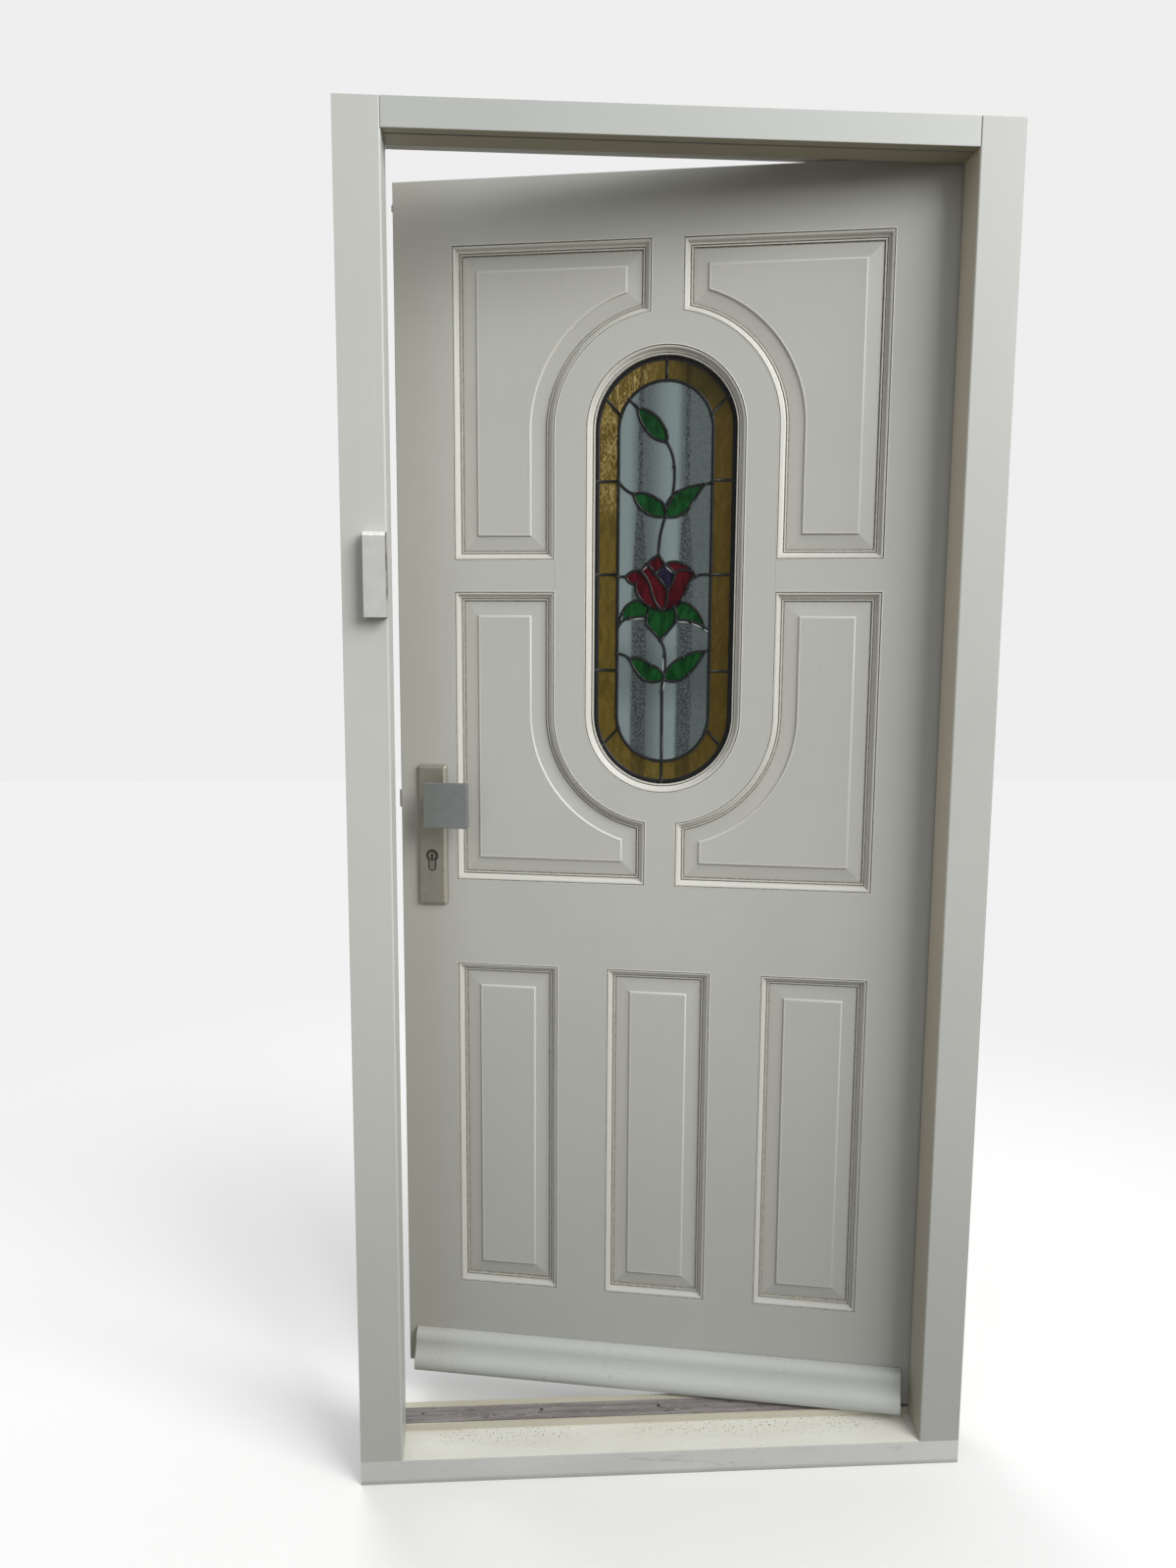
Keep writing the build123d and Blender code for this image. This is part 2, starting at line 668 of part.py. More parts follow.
def lipping():
    strip = block(-HALF_LEAF, -HALF_LEAF + LIPPING, FACE_Y, FRAME_BACK, LEAF_Z, LEAF_TOP)
    edges = strip.edges().filter_by(Axis.Z).group_by(Axis.X)[0]
    return fillet(edges, EDGE_ROUND)


# Leaded light. Points are real sizes from the middle of the light.

def at(x, z):
    """A point of the flower design."""
    return (x, LIGHT_Z + z)


def middle_of(a, b, bow):
    """The middle of an arc from a to b that bulges to its left by bow."""
    run = math.hypot(b[0] - a[0], b[1] - a[1])
    nx = -(b[1] - a[1]) / run
    nz = (b[0] - a[0]) / run
    return ((a[0] + b[0]) / 2 + bow * nx, (a[1] + b[1]) / 2 + bow * nz)


def bowed(a, b, bow):
    """An arc from a to b, or a line when it has no bow."""
    if abs(bow) < LEAST_BOW:
        return Line(a, b)
    return ThreePointArc(a, middle_of(a, b, bow), b)


def came(a, b, bow):
    """Face of one came along a bowed centre line, a little longer than the line."""
    half = CAME_WIDTH / 2
    run = math.hypot(b[0] - a[0], b[1] - a[1])
    turn = 4 * bow / run
    heading = math.atan2(b[1] - a[1], b[0] - a[0])
    first = heading + math.atan(turn)
    last = heading - math.atan(turn)
    spare = 0.4
    a = (a[0] - spare * math.cos(first), a[1] - spare * math.sin(first))
    b = (b[0] + spare * math.cos(last), b[1] + spare * math.sin(last))
    middle = middle_of(a, b, bow)
    sides = []
    for sign in (1, -1):
        points = []
        for point, angle in ((a, first), (middle, heading), (b, last)):
            points.append((point[0] - sign * half * math.sin(angle), point[1] + sign * half * math.cos(angle)))
        sides.append(points)
    left, right = sides
    if abs(bow) < LEAST_BOW:
        return face_of([left[0], left[2], right[2], right[0]])
    edges = [ThreePointArc(*left), Line(left[2], right[2]), ThreePointArc(*right), Line(right[0], left[0])]
    return make_face(Wire(edges))


class Outline:
    """A closed piece of glass bounded by bowed edges."""

    def __init__(self, steps):
        self.steps = steps         # point and the bow of the edge that leaves it

    def pairs(self):
        for i, (point, bow) in enumerate(self.steps):
            yield point, self.steps[(i + 1) % len(self.steps)][0], bow

    def face(self):
        return make_face(Wire([bowed(*pair) for pair in self.pairs()]))

    def cames(self):
        return [came(*pair) for pair in self.pairs()]


def leaves():
    """Green glass: a bud leaf, two pairs of leaves and three sepals."""
    return [
        Outline([(at(-46, 262), 9), (at(0, 225), 2), (at(1, 209), 5), (at(-32, 228), 3)]),
        Outline([(at(-51, 128), 5), (at(-12, 119), 3), (at(1, 104), 0), (at(1, 92), 3), (at(-30, 98), 4)]),
        Outline([(at(1, 104), 4), (at(20, 131), 2), (at(62, 142), 0), (at(38, 104), 6), (at(1, 92), 0)]),
        Outline([(at(-55, -136), 5), (at(-20, -146), 4), (at(2, -164), 0), (at(1, -169), 5), (at(-34, -168), 2)]),
        Outline([(at(2, -164), 5), (at(32, -133), 3), (at(68, -123), 2), (at(42, -161), 7), (at(1, -169), 0)]),
        Outline([(at(-36, -41), -7), (at(-68, -63), -1), (at(-74, -84), 3), (at(-56, -70), 1), (at(-28, -68), 0),
                 (at(-24, -50), 2)]),
        Outline([(at(-24, -50), 0), (at(-28, -68), -3), (at(-22, -86), 0), (at(-4, -106), 0), (at(20, -76), -2),
                 (at(17, -52), 6)]),
        Outline([(at(17, -52), 2), (at(20, -73), 1), (at(44, -75), 1), (at(66, -84), -9), (at(28, -42), 2)]),
    ]


def flower():
    """Outline of the whole flower head."""
    return Outline([(at(-62, -3), 4), (at(-38, 6), 1), (at(-27, 17), 2), (at(-9, 31), 0), (at(1, 16), 4),
                    (at(30, 17), 4), (at(51, -3), -3), (at(38, -20), 0), (at(28, -42), 2), (at(17, -52), 6),
                    (at(-24, -50), 2), (at(-36, -41), 3), (at(-46, -15), 4)])


def heart():
    """Violet glass at the middle of the flower."""
    return Outline([(at(-14, 1), 0), (at(1, 16), 1), (at(17, 3), 3), (at(6, -24), 0)])


def petal_cames():
    """Cames between the petals."""
    return [(at(-38, 6), at(-20, -28), 3), (at(-20, -28), at(-5, -56), -2), (at(-27, 17), at(-14, 1), 0),
            (at(6, -24), at(0, -56), 2), (at(17, 3), at(43, 6), 3)]


def stem_cames():
    """Stems, and the cames that tie the design to the border."""
    inner = LIGHT_RADIUS - BORDER_WIDTH
    drop = LIGHT_STRAIGHT / 2
    return [(at(-0.78 * inner, drop + 0.62 * inner), at(-46, 262), 0), (at(1, 209), at(14, 170), 3),
            (at(14, 170), at(11, 122), 2), (at(11, 122), at(1, 104), 1),
            (at(-inner, 149), at(-51, 128), -3), (at(62, 142), at(inner, 144), 0),
            (at(1, 92), at(-9, 31), -3), (at(-inner, -4), at(-62, -3), 0), (at(51, -3), at(inner, -1), 2),
            (at(66, -84), at(inner, -92), 1), (at(-4, -106), at(3, -130), 2), (at(3, -130), at(2, -164), 1),
            (at(-inner, -128), at(-55, -136), 2), (at(68, -123), at(inner, -120), 0),
            (at(1, -169), at(-1, -190), -1), (at(-1, -190), at(0, -drop - inner), 0)]


def border_cames():
    """Short cames across the amber border."""
    inner = LIGHT_RADIUS - BORDER_WIDTH
    outer = LIGHT_RADIUS + 1.0
    drop = LIGHT_STRAIGHT / 2
    bars = [(at(0, up * (drop + inner)), at(0, up * (drop + outer)), 0) for up in (-1, 1)]
    low = math.radians(17)
    high = math.radians(28)
    for side in (-1, 1):
        for z in (148.0, 0.0, -155.0):
            bars.append((at(side * inner, z), at(side * outer, z), 0))
        for up in (-1, 1):
            bars.append((at(side * inner * math.cos(low), up * (drop + inner * math.sin(low))),
                         at(side * outer * math.cos(high), up * (drop + outer * math.sin(high))), 0))
    return bars


def join(faces):
    """One sketch from many faces."""
    first, *rest = faces
    return first.fuse(*rest) if rest else first


def glazing():
    """Cames and coloured glass of the leaded light, and the room-side pane, spacer and bead."""
    parts = {}
    inner = LIGHT_RADIUS - BORDER_WIDTH
    half = CAME_WIDTH / 2
    edge = LIGHT_RADIUS + GLASS_REBATE
    green = leaves()
    head = flower()
    violet = heart()
    design = []
    for outline in [*green, head, violet]:
        design += outline.cames()
    design += [came(*line) for line in petal_cames() + stem_cames()]
    design = Sketch() + design
    design = design & light_face(inner)
    net = (light_face(edge) - light_face(LIGHT_RADIUS - 1.5)) + (light_face(inner + half) - light_face(inner - half))
    net += [came(*line) for line in border_cames()]
    net += design
    leaf_faces = Sketch() + [outline.face() for outline in green]
    y0 = FACE_Y + GLASS_RECESS
    middle = y0 + CAME_THICKNESS / 2
    glass = (middle - GLASS_THICKNESS / 2, middle + GLASS_THICKNESS / 2)
    parts["lead_cames"] = through(net, y0, y0 + CAME_THICKNESS)
    border = light_face(LIGHT_RADIUS - 1.5) - light_face(inner + half) - net
    parts["glass_border"] = through(border, *glass)
    parts["glass_leaves"] = through(leaf_faces - net, *glass)
    parts["glass_petals"] = through(head.face() - violet.face() - net, *glass)
    parts["glass_heart"] = through(violet.face() - net, *glass)
    field = light_face(inner - half) - leaf_faces - head.face() - net
    parts["glass_field"] = through(field, *glass)
    back = y0 + CAME_THICKNESS
    spacer = light_face(edge) - light_face(edge - SPACER_WIDTH)
    parts["glazing_spacer"] = through(spacer, back, back + SPACER_THICKNESS)
    pane = back + SPACER_THICKNESS
    parts["inner_pane"] = through(light_face(edge), pane, pane + PANE_THICKNESS)
    parts["glazing_bead"] = glazing_bead(pane + PANE_THICKNESS)
    return parts


def glazing_bead(y0):
    """Timber bead that holds the glass from the room side."""
    bead = light_face(LIGHT_RADIUS + GLASS_REBATE) - light_face(LIGHT_RADIUS - 4.0)
    solid = through(bead, y0, FRAME_BACK)
    edge = solid.faces().sort_by(Axis.Y)[-1].inner_wires()[0].edges()
    return chamfer(edge, 6.0)


def weatherboard():
    """Ogee-faced board across the leaf's foot, with its ends splayed."""
    z0 = LEAF_Z + BOARD_LIFT
    top = z0 + BOARD_HEIGHT
    d = BOARD_DEPTH
    h = BOARD_HEIGHT
    y = FACE_Y
    crown = ThreePointArc((y, top), (y - 0.30 * d, top - 0.07 * h), (y - 0.50 * d, top - 0.30 * h))
    cove = ThreePointArc((y - 0.50 * d, top - 0.30 * h), (y - 0.60 * d, top - 0.48 * h), (y - 0.80 * d, top - 0.62 * h))
    nose = ThreePointArc((y - 0.80 * d, top - 0.62 * h), (y - 0.97 * d, top - 0.76 * h), (y - d, z0 + 0.07 * h))
    under = Polyline((y - d, z0 + 0.07 * h), (y - 0.96 * d, z0), (y - 0.80 * d, z0), (y - 0.80 * d, z0 + 5.0),
                     (y - 0.66 * d, z0 + 5.0), (y - 0.66 * d, z0), (y, z0), (y, top))
    section = make_face([*crown.edges(), *cove.edges(), *nose.edges(), *under.edges()])
    half = OPENING_X - BOARD_CLEARANCE + BOARD_SPLAY
    plane = Plane((-half, 0, 0), x_dir=(0, 1, 0), z_dir=(1, 0, 0))
    board = extrude(plane * section, 2 * half)
    for side in (-1, 1):
        tool = face_of_xy([(side * (half + 1), y + 1), (side * half, y), (side * (half - BOARD_SPLAY), y - d - 1),
                           (side * (half + 1), y - d - 1)])
        board -= Pos(0, 0, z0 - 1) * extrude(tool, BOARD_HEIGHT + 2)
    return board


def face_of_xy(points):
    return make_face(Polyline(*points, close=True))


# Frame

def jamb(side):
    """A post, rebated for the leaf on its room side and rounded on its outer arris."""
    x_in = side * OPENING_X
    x_rebate = side * REBATE_X
    x_out = side * FRAME_X
    section = [(x_in, FRAME_FRONT), (x_in, STOP_PLANE), (x_rebate, STOP_PLANE), (x_rebate, FRAME_BACK),
               (x_out, FRAME_BACK), (x_out, FRAME_FRONT)]
    post = Pos(0, 0, SILL_HEIGHT) * extrude(face_of_xy(section), FRAME_TOP - SILL_HEIGHT)
    edge = post.edges().filter_by(Axis.Z).filter_by_position(Axis.Y, FRAME_FRONT - 0.1, FRAME_FRONT + 0.1)
    near = edge.sort_by_distance((x_in, FRAME_FRONT, FRAME_TOP / 2))[0]
    post = fillet(near, FRAME_ARRIS)
    post += jamb_foot(side, 0.0)
    for low, high in head_tenon_heights():
        post -= head_tenon(side, low, high, TENON_PLAY)
    return post


def jamb_foot(side, grow):
    """Stub tenon at the foot of a post."""
    x0, x1 = sorted((side * (OPENING_X + 22.0), side * (FRAME_X - 15.0)))
    return block(x0, x1, FRAME_FRONT + 30, FRAME_BACK - 25, SILL_HEIGHT - JAMB_TENON - grow, SILL_HEIGHT)


def head_tenon_heights():
    return ((OPENING_TOP + REBATE_WIDTH + 4.0, FRAME_TOP - 5.0),)


def head_tenon(side, low, high, grow):
    x0, x1 = sorted((side * OPENING_X, side * (OPENING_X + JAMB_TENON + grow)))
    return block(x0, x1, FRAME_FRONT + 30, STOP_PLANE - 5, low, high)


def head_rail():
    """Head between the posts, with a drip groove under its front lip."""
    front = block(-OPENING_X, OPENING_X, FRAME_FRONT, STOP_PLANE, OPENING_TOP, FRAME_TOP)
    back = block(-REBATE_X, REBATE_X, STOP_PLANE, FRAME_BACK, REBATE_TOP, FRAME_TOP)
    groove = FRAME_FRONT + DRIP_SETBACK
    head = front + back
    head -= block(-OPENING_X, OPENING_X, groove, groove + DRIP_GROOVE, OPENING_TOP, OPENING_TOP + DRIP_GROOVE)
    edge = head.edges().filter_by(Axis.X).sort_by_distance((0, FRAME_FRONT, OPENING_TOP))[0]
    head = fillet(edge, FRAME_ARRIS / 2)
    for side in (-1, 1):
        for low, high in head_tenon_heights():
            head += head_tenon(side, low, high, 0.0)
    return head


def sill():
    """Sill under both posts: weathered slope, upstand and a bed for the metal strip."""
    base = block(-FRAME_X, FRAME_X, FRAME_FRONT, FRAME_BACK, 0, SILL_HEIGHT)
    slope = across([(FRAME_FRONT, SILL_HEIGHT), (STOP_PLANE, SILL_HEIGHT), (STOP_PLANE, SILL_HEIGHT + SILL_RISE)],
                   -OPENING_X, OPENING_X)
    upstand = block(-REBATE_X, REBATE_X, STOP_PLANE, FRAME_BACK, SILL_HEIGHT, SEAT_Z)
    body = base + slope + upstand
    edge = body.edges().filter_by(Axis.X).sort_by_distance((0, FRAME_FRONT, SILL_HEIGHT))[0]
    y0 = STOP_PLANE + STRIP_SETBACK
    body -= block(-REBATE_X, REBATE_X, y0, y0 + STRIP_WIDTH, SEAT_Z - STRIP_THICKNESS, SEAT_Z)
    groove = FRAME_FRONT + DRIP_SETBACK
    body -= block(-FRAME_X, FRAME_X, groove, groove + DRIP_GROOVE, 0, DRIP_GROOVE)
    for side in (-1, 1):
        body -= jamb_foot(side, TENON_PLAY)
    return body - [strip_screw(x) for x in strip_screw_places()]


def strip_screw_places():
    reach = REBATE_X - STRIP_SCREW_EDGE
    count = max(1, round(2 * reach / STRIP_SCREW_PITCH))
    return [-reach + i * 2 * reach / count for i in range(count + 1)]


def screw(place, direction, head, length, deep):
    """Plain screw with a flush head, driven from a place along a direction."""
    plane = Plane(place, z_dir=direction)
    top = extrude(plane * RegularPolygon(head, 6), deep)
    shank = extrude(plane.offset(deep) * Rectangle(0.8 * head, 0.8 * head), length - deep)
    return top + shank


def strip_screw(x):
    y = STOP_PLANE + STRIP_SETBACK + STRIP_WIDTH / 2 + 3.0
    return screw((x, y, SEAT_Z), (0, 0, -1), STRIP_SCREW_HEAD / 2, STRIP_SCREW_LENGTH, STRIP_THICKNESS)


def threshold_strip():
    y0 = STOP_PLANE + STRIP_SETBACK + STRIP_PLAY
    strip = block(-REBATE_X + STRIP_PLAY, REBATE_X - STRIP_PLAY, y0, y0 + STRIP_WIDTH - 2 * STRIP_PLAY,
                  SEAT_Z - STRIP_THICKNESS, SEAT_Z)
    return strip - [strip_screw(x) for x in strip_screw_places()]


def seal_bar(x0, x1, z0, z1):
    return block(x0, x1, STOP_PLANE, FACE_Y - SEAL_CLEARANCE, z0, z1)


def seals():
    """Soft sealing strips on the stops."""
    edge = 3.0
    left = seal_bar(-REBATE_X + edge, -REBATE_X + edge + SEAL_WIDTH, SEAT_Z, REBATE_TOP - edge)
    right = seal_bar(REBATE_X - edge - SEAL_WIDTH, REBATE_X - edge, SEAT_Z, REBATE_TOP - edge)
    inner = REBATE_X - edge - SEAL_WIDTH
    top = seal_bar(-inner, inner, REBATE_TOP - edge - SEAL_WIDTH, REBATE_TOP - edge)
    return left + right + top


def jamb_block():
    """Painted block on the face of the latch jamb."""
    x0 = -OPENING_X - BLOCK_WIDTH
    box = block(x0, -OPENING_X, FRAME_FRONT - BLOCK_DEPTH, FRAME_FRONT, BLOCK_BOTTOM, BLOCK_BOTTOM + BLOCK_HEIGHT)
    top = box.edges().filter_by(Axis.X).sort_by_distance(
        (x0, FRAME_FRONT - BLOCK_DEPTH, BLOCK_BOTTOM + BLOCK_HEIGHT))[0]
    return chamfer(top, BLOCK_CHAMFER)


# Hinges

def hinge_z(index):
    return LEAF_Z + HINGE_HEIGHTS[index]


def knuckles():
    """Heights of the three knuckles from the hinge's middle."""
    step = HINGE_HEIGHT / 3
    return [(-HINGE_HEIGHT / 2 + i * step, -HINGE_HEIGHT / 2 + (i + 1) * step) for i in range(3)]


def hinge_plate(index, on_leaf):
    """One flap with its own knuckles."""
    z = hinge_z(index)
    half = HINGE_HEIGHT / 2
    if on_leaf:
        x0, x1 = HALF_LEAF - HINGE_PLATE, HALF_LEAF
    else:
        x0, x1 = REBATE_X, REBATE_X + HINGE_PLATE
    y_edge = PIN_Y - BARREL_RADIUS - KNUCKLE_PLAY
    flap = block(x0, x1, FRAME_BACK - HINGE_PLATE_DEPTH, y_edge, z - half, z + half)
    for i, (low, high) in enumerate(knuckles()):
        if (i % 2 == 1) == on_leaf:
            z0 = z + low + KNUCKLE_PLAY / 2
            z1 = z + high - KNUCKLE_PLAY / 2
            flap += block(x0, x1, y_edge, PIN_Y, z0, z1)
            flap += rod(PIN_X, PIN_Y, z0, BARREL_RADIUS, z1 - z0, (0, 0, 1))
    bore = PIN_RADIUS + (PIN_PLAY if on_leaf else 0.0)
    flap -= rod(PIN_X, PIN_Y, z - half - 1, bore, HINGE_HEIGHT + 2, (0, 0, 1))
    return flap - [hinge_screw(place, on_leaf) for place in hinge_screw_places(index)]


def hinge_recess(index, on_leaf):
    """The bed cut for a flap."""
    z = hinge_z(index)
    half = HINGE_HEIGHT / 2
    if on_leaf:
        x0, x1 = HALF_LEAF - HINGE_PLATE, HALF_LEAF + 1
    else:
        x0, x1 = REBATE_X - 1, REBATE_X + HINGE_PLATE
    return block(x0, x1, FRAME_BACK - HINGE_PLATE_DEPTH, FRAME_BACK + 1, z - half, z + half)


def hinge_pin(index):
    z = hinge_z(index)
    half = HINGE_HEIGHT / 2
    pin = rod(PIN_X, PIN_Y, z - half, PIN_RADIUS, HINGE_HEIGHT, (0, 0, 1))
    cap = rod(PIN_X, PIN_Y, z + half, BARREL_RADIUS - 1.0, 2.5, (0, 0, 1))
    return pin + cap


def hinge_screw_places(index):
    z = hinge_z(index)
    y = FRAME_BACK - HINGE_PLATE_DEPTH / 2
    return [(y - 6, z - 32), (y + 6, z - 12), (y + 6, z + 12), (y - 6, z + 32)]


def hinge_screw(place, on_leaf):
    """Screw whose head is flush with its flap."""
    y, z = place
    sign = -1 if on_leaf else 1
    x = HALF_LEAF if on_leaf else REBATE_X
    return screw((x, y, z), (sign, 0, 0), HINGE_SCREW_HEAD / 2, HINGE_SCREW_LENGTH, HINGE_PLATE)


# Lock

def latch_profile():
    """Latch head in plan, with the slope that rides over the strike."""
    x0 = -HALF_LEAF - LATCH_THROW
    y0 = MID_Y - LATCH_THICKNESS / 2
    y1 = MID_Y + LATCH_THICKNESS / 2
    back = -HALF_LEAF + 22.0
    return face_of_xy([(-HALF_LEAF - 2.0, y0), (back, y0), (back, y1), (x0, y1), (x0, y1 - 3.0)])


def latch_bolt():
    """Spring latch with the tail that the follower draws back."""
    head = Pos(0, 0, SPINDLE_Z - LATCH_HEIGHT / 2) * extrude(latch_profile(), LATCH_HEIGHT)
    tail_y0 = MID_Y - 3.0
    tail_y1 = MID_Y + 3.0
    arm = FOLLOWER_ARM
    start = -HALF_LEAF + 22.0
    hook = SPINDLE_X + 6.0
    tail = block(start, start + 8.0, tail_y0, tail_y1, SPINDLE_Z + 8.0, SPINDLE_Z + arm + 6.0)
    tail += block(start + 8.0, hook + 5.0, tail_y0, tail_y1, SPINDLE_Z + arm + 1.0, SPINDLE_Z + arm + 6.0)
    tail += block(hook, hook + 5.0, tail_y0, tail_y1, SPINDLE_Z + arm - 7.0, SPINDLE_Z + arm + 1.0)
    return head + tail


def deadbolt():
    """Square bolt, drawn back flush with the faceplate at rest."""
    half = BOLT_THICKNESS / 2
    z0 = BOLT_Z - BOLT_HEIGHT / 2
    z1 = BOLT_Z + BOLT_HEIGHT / 2
    return block(-HALF_LEAF, -HALF_LEAF + 52.0, MID_Y - half, MID_Y + half, z0, z1)


def follower():
    """Nut turned by the spindle, with the arm that draws the latch."""
    half = 5.0
    body = rod(SPINDLE_X, MID_Y - half, SPINDLE_Z, FOLLOWER_RADIUS, 2 * half, (0, 1, 0))
    arm = block(SPINDLE_X - 3.0, SPINDLE_X + 3.0, MID_Y - 3.0, MID_Y + 3.0, SPINDLE_Z, SPINDLE_Z + FOLLOWER_ARM - 1.0)
    body += arm
    size = SPINDLE_SIZE / 2
    body -= block(SPINDLE_X - size, SPINDLE_X + size, MID_Y - half - 1, MID_Y + half + 1,
                  SPINDLE_Z - size, SPINDLE_Z + size)
    return body


def case_limits(grow):
    half = CASE_THICKNESS / 2
    x0 = -HALF_LEAF + FACE_THICKNESS
    return (x0, x0 + CASE_DEPTH + grow, MID_Y - half - grow, MID_Y + half + grow,
            CASE_Z0 - grow, CASE_Z0 + CASE_HEIGHT + grow)


def lock_case():
    """Hollow steel box with the holes for bolts, spindle and cylinder."""
    x0, x1, y0, y1, z0, z1 = case_limits(0.0)
    w = CASE_WALL
    shell = block(x0, x1, y0, y1, z0, z1) - block(x0 + w, x1 - w, y0 + w, y1 - w, z0 + w, z1 - w)
    return lock_holes(shell) - cylinder_screw()


def lock_holes(solid):
    """Holes for the follower's ends, the cylinder and both bolts."""
    y0 = MID_Y - CASE_THICKNESS
    solid -= bar12(SPINDLE_X, y0, SPINDLE_Z, FOLLOWER_RADIUS + 1.5, 2 * CASE_THICKNESS, (0, 1, 0))
    low = CYLINDER_Z + PROFILE_RADIUS - PROFILE_HEIGHT
    solid -= block(SPINDLE_X - PROFILE_RADIUS - 0.4, SPINDLE_X + PROFILE_RADIUS + 0.4, y0, y0 + 2 * CASE_THICKNESS,
                   low - 0.4, CYLINDER_Z + PROFILE_RADIUS + 0.4)
    return solid - bolt_ways(-HALF_LEAF - 1, -HALF_LEAF + FACE_THICKNESS + CASE_WALL + 0.5)


def bolt_ways(x0, x1):
    """Clear ways for both bolts."""
    c = BOLT_CLEARANCE
    latch = block(x0, x1, MID_Y - LATCH_THICKNESS / 2 - c, MID_Y + LATCH_THICKNESS / 2 + c,
                  SPINDLE_Z - LATCH_HEIGHT / 2 - c, SPINDLE_Z + LATCH_HEIGHT / 2 + c)
    dead = block(x0, x1, MID_Y - BOLT_THICKNESS / 2 - c, MID_Y + BOLT_THICKNESS / 2 + c,
                 BOLT_Z - BOLT_HEIGHT / 2 - c, BOLT_Z + BOLT_HEIGHT / 2 + c)
    return latch + dead


def faceplate_middle():
    return CASE_Z0 + CASE_HEIGHT / 2


def faceplate():
    z = faceplate_middle()
    half = FACE_WIDTH / 2
    plate = block(-HALF_LEAF, -HALF_LEAF + FACE_THICKNESS, MID_Y - half, MID_Y + half,
                  z - FACE_HEIGHT / 2, z + FACE_HEIGHT / 2)
    plate = fillet(plate.edges().filter_by(Axis.X), 3.0)
    plate -= bolt_ways(-HALF_LEAF - 1, -HALF_LEAF + FACE_THICKNESS + 1)
    for screw in faceplate_screws():
        plate -= screw
    plate -= cylinder_screw()
    return plate


def edge_screw(x, y, z, sign, head, length):
    """Screw driven along X, its head flush with the plate at x."""
    return screw((x, y, z), (sign, 0, 0), head, length, STRIKE_THICKNESS)


def faceplate_screws():
    z = faceplate_middle()
    reach = FACE_HEIGHT / 2 - 12.0
    return [edge_screw(-HALF_LEAF, MID_Y, z + d, 1, 3.8, 26.0) for d in (-reach, reach)]


def cylinder_screw():
    """Long screw through the faceplate into the cylinder's foot."""
    z = CYLINDER_Z - PROFILE_HEIGHT + PROFILE_RADIUS + PROFILE_NECK / 2 + 2.0
    return edge_screw(-HALF_LEAF, MID_Y, z, 1, 4.0, BACKSET - 2.0)


def profile_face(grow):
    """Outline of the profile cylinder."""
    low = CYLINDER_Z + PROFILE_RADIUS - PROFILE_HEIGHT
    neck = PROFILE_NECK / 2
    outline = Pos(SPINDLE_X, CYLINDER_Z) * Circle(PROFILE_RADIUS + grow)
    outline += rectangle(SPINDLE_X - neck - grow, SPINDLE_X + neck + grow, low + neck, CYLINDER_Z)
    return outline + Pos(SPINDLE_X, low + neck) * Circle(neck + grow)


def cylinder_ends():
    reach = PLATE_THICKNESS + PROFILE_PROUD
    return FACE_Y - reach, FRAME_BACK + reach


def cylinder_body():
    y0, y1 = cylinder_ends()
    body = through(profile_face(0.0), y0, y1)
    body -= rod(SPINDLE_X, y0 - 1, CYLINDER_Z, PLUG_RADIUS + PLUG_PLAY, y1 - y0 + 2, (0, 1, 0))
    half = CAM_WIDTH / 2 + CAM_CLEARANCE
    top = CYLINDER_Z + PROFILE_RADIUS + 1
    reach = CAM_REACH + CAM_CLEARANCE
    body -= block(SPINDLE_X - 20, SPINDLE_X + 20, MID_Y - half, MID_Y + half, CYLINDER_Z - reach, top)
    body -= cylinder_screw()
    return body


def keyway(y_face, sign):
    """Blade slot in the plug's face."""
    y0, y1 = sorted((y_face, y_face + sign * KEYWAY_DEPTH))
    half = KEYWAY_WIDTH / 2
    slot = block(SPINDLE_X - half, SPINDLE_X + half, y0, y1, CYLINDER_Z - PLUG_RADIUS - 1, CYLINDER_Z + 3.4)
    return slot


def cylinder_plug():
    """Both halves of the plug on their shared core."""
    y0, y1 = cylinder_ends()
    plug = rod(SPINDLE_X, y0, CYLINDER_Z, PLUG_RADIUS, y1 - y0, (0, 1, 0))
    plug -= keyway(y0, 1)
    return plug - keyway(y1, -1)


def cylinder_cam():
    """Ring on the plug with the finger that throws the bolt."""
    half = CAM_WIDTH / 2
    ring = rod(SPINDLE_X, MID_Y - half, CYLINDER_Z, PROFILE_RADIUS, CAM_WIDTH, (0, 1, 0))
    finger = block(SPINDLE_X - 4.0, SPINDLE_X + 4.0, MID_Y - half, MID_Y + half, CYLINDER_Z,
                   CYLINDER_Z + CAM_REACH - 0.6)
    cam = ring + finger
    return cam - rod(SPINDLE_X, MID_Y - half - 1, CYLINDER_Z, PLUG_RADIUS, CAM_WIDTH + 2, (0, 1, 0))


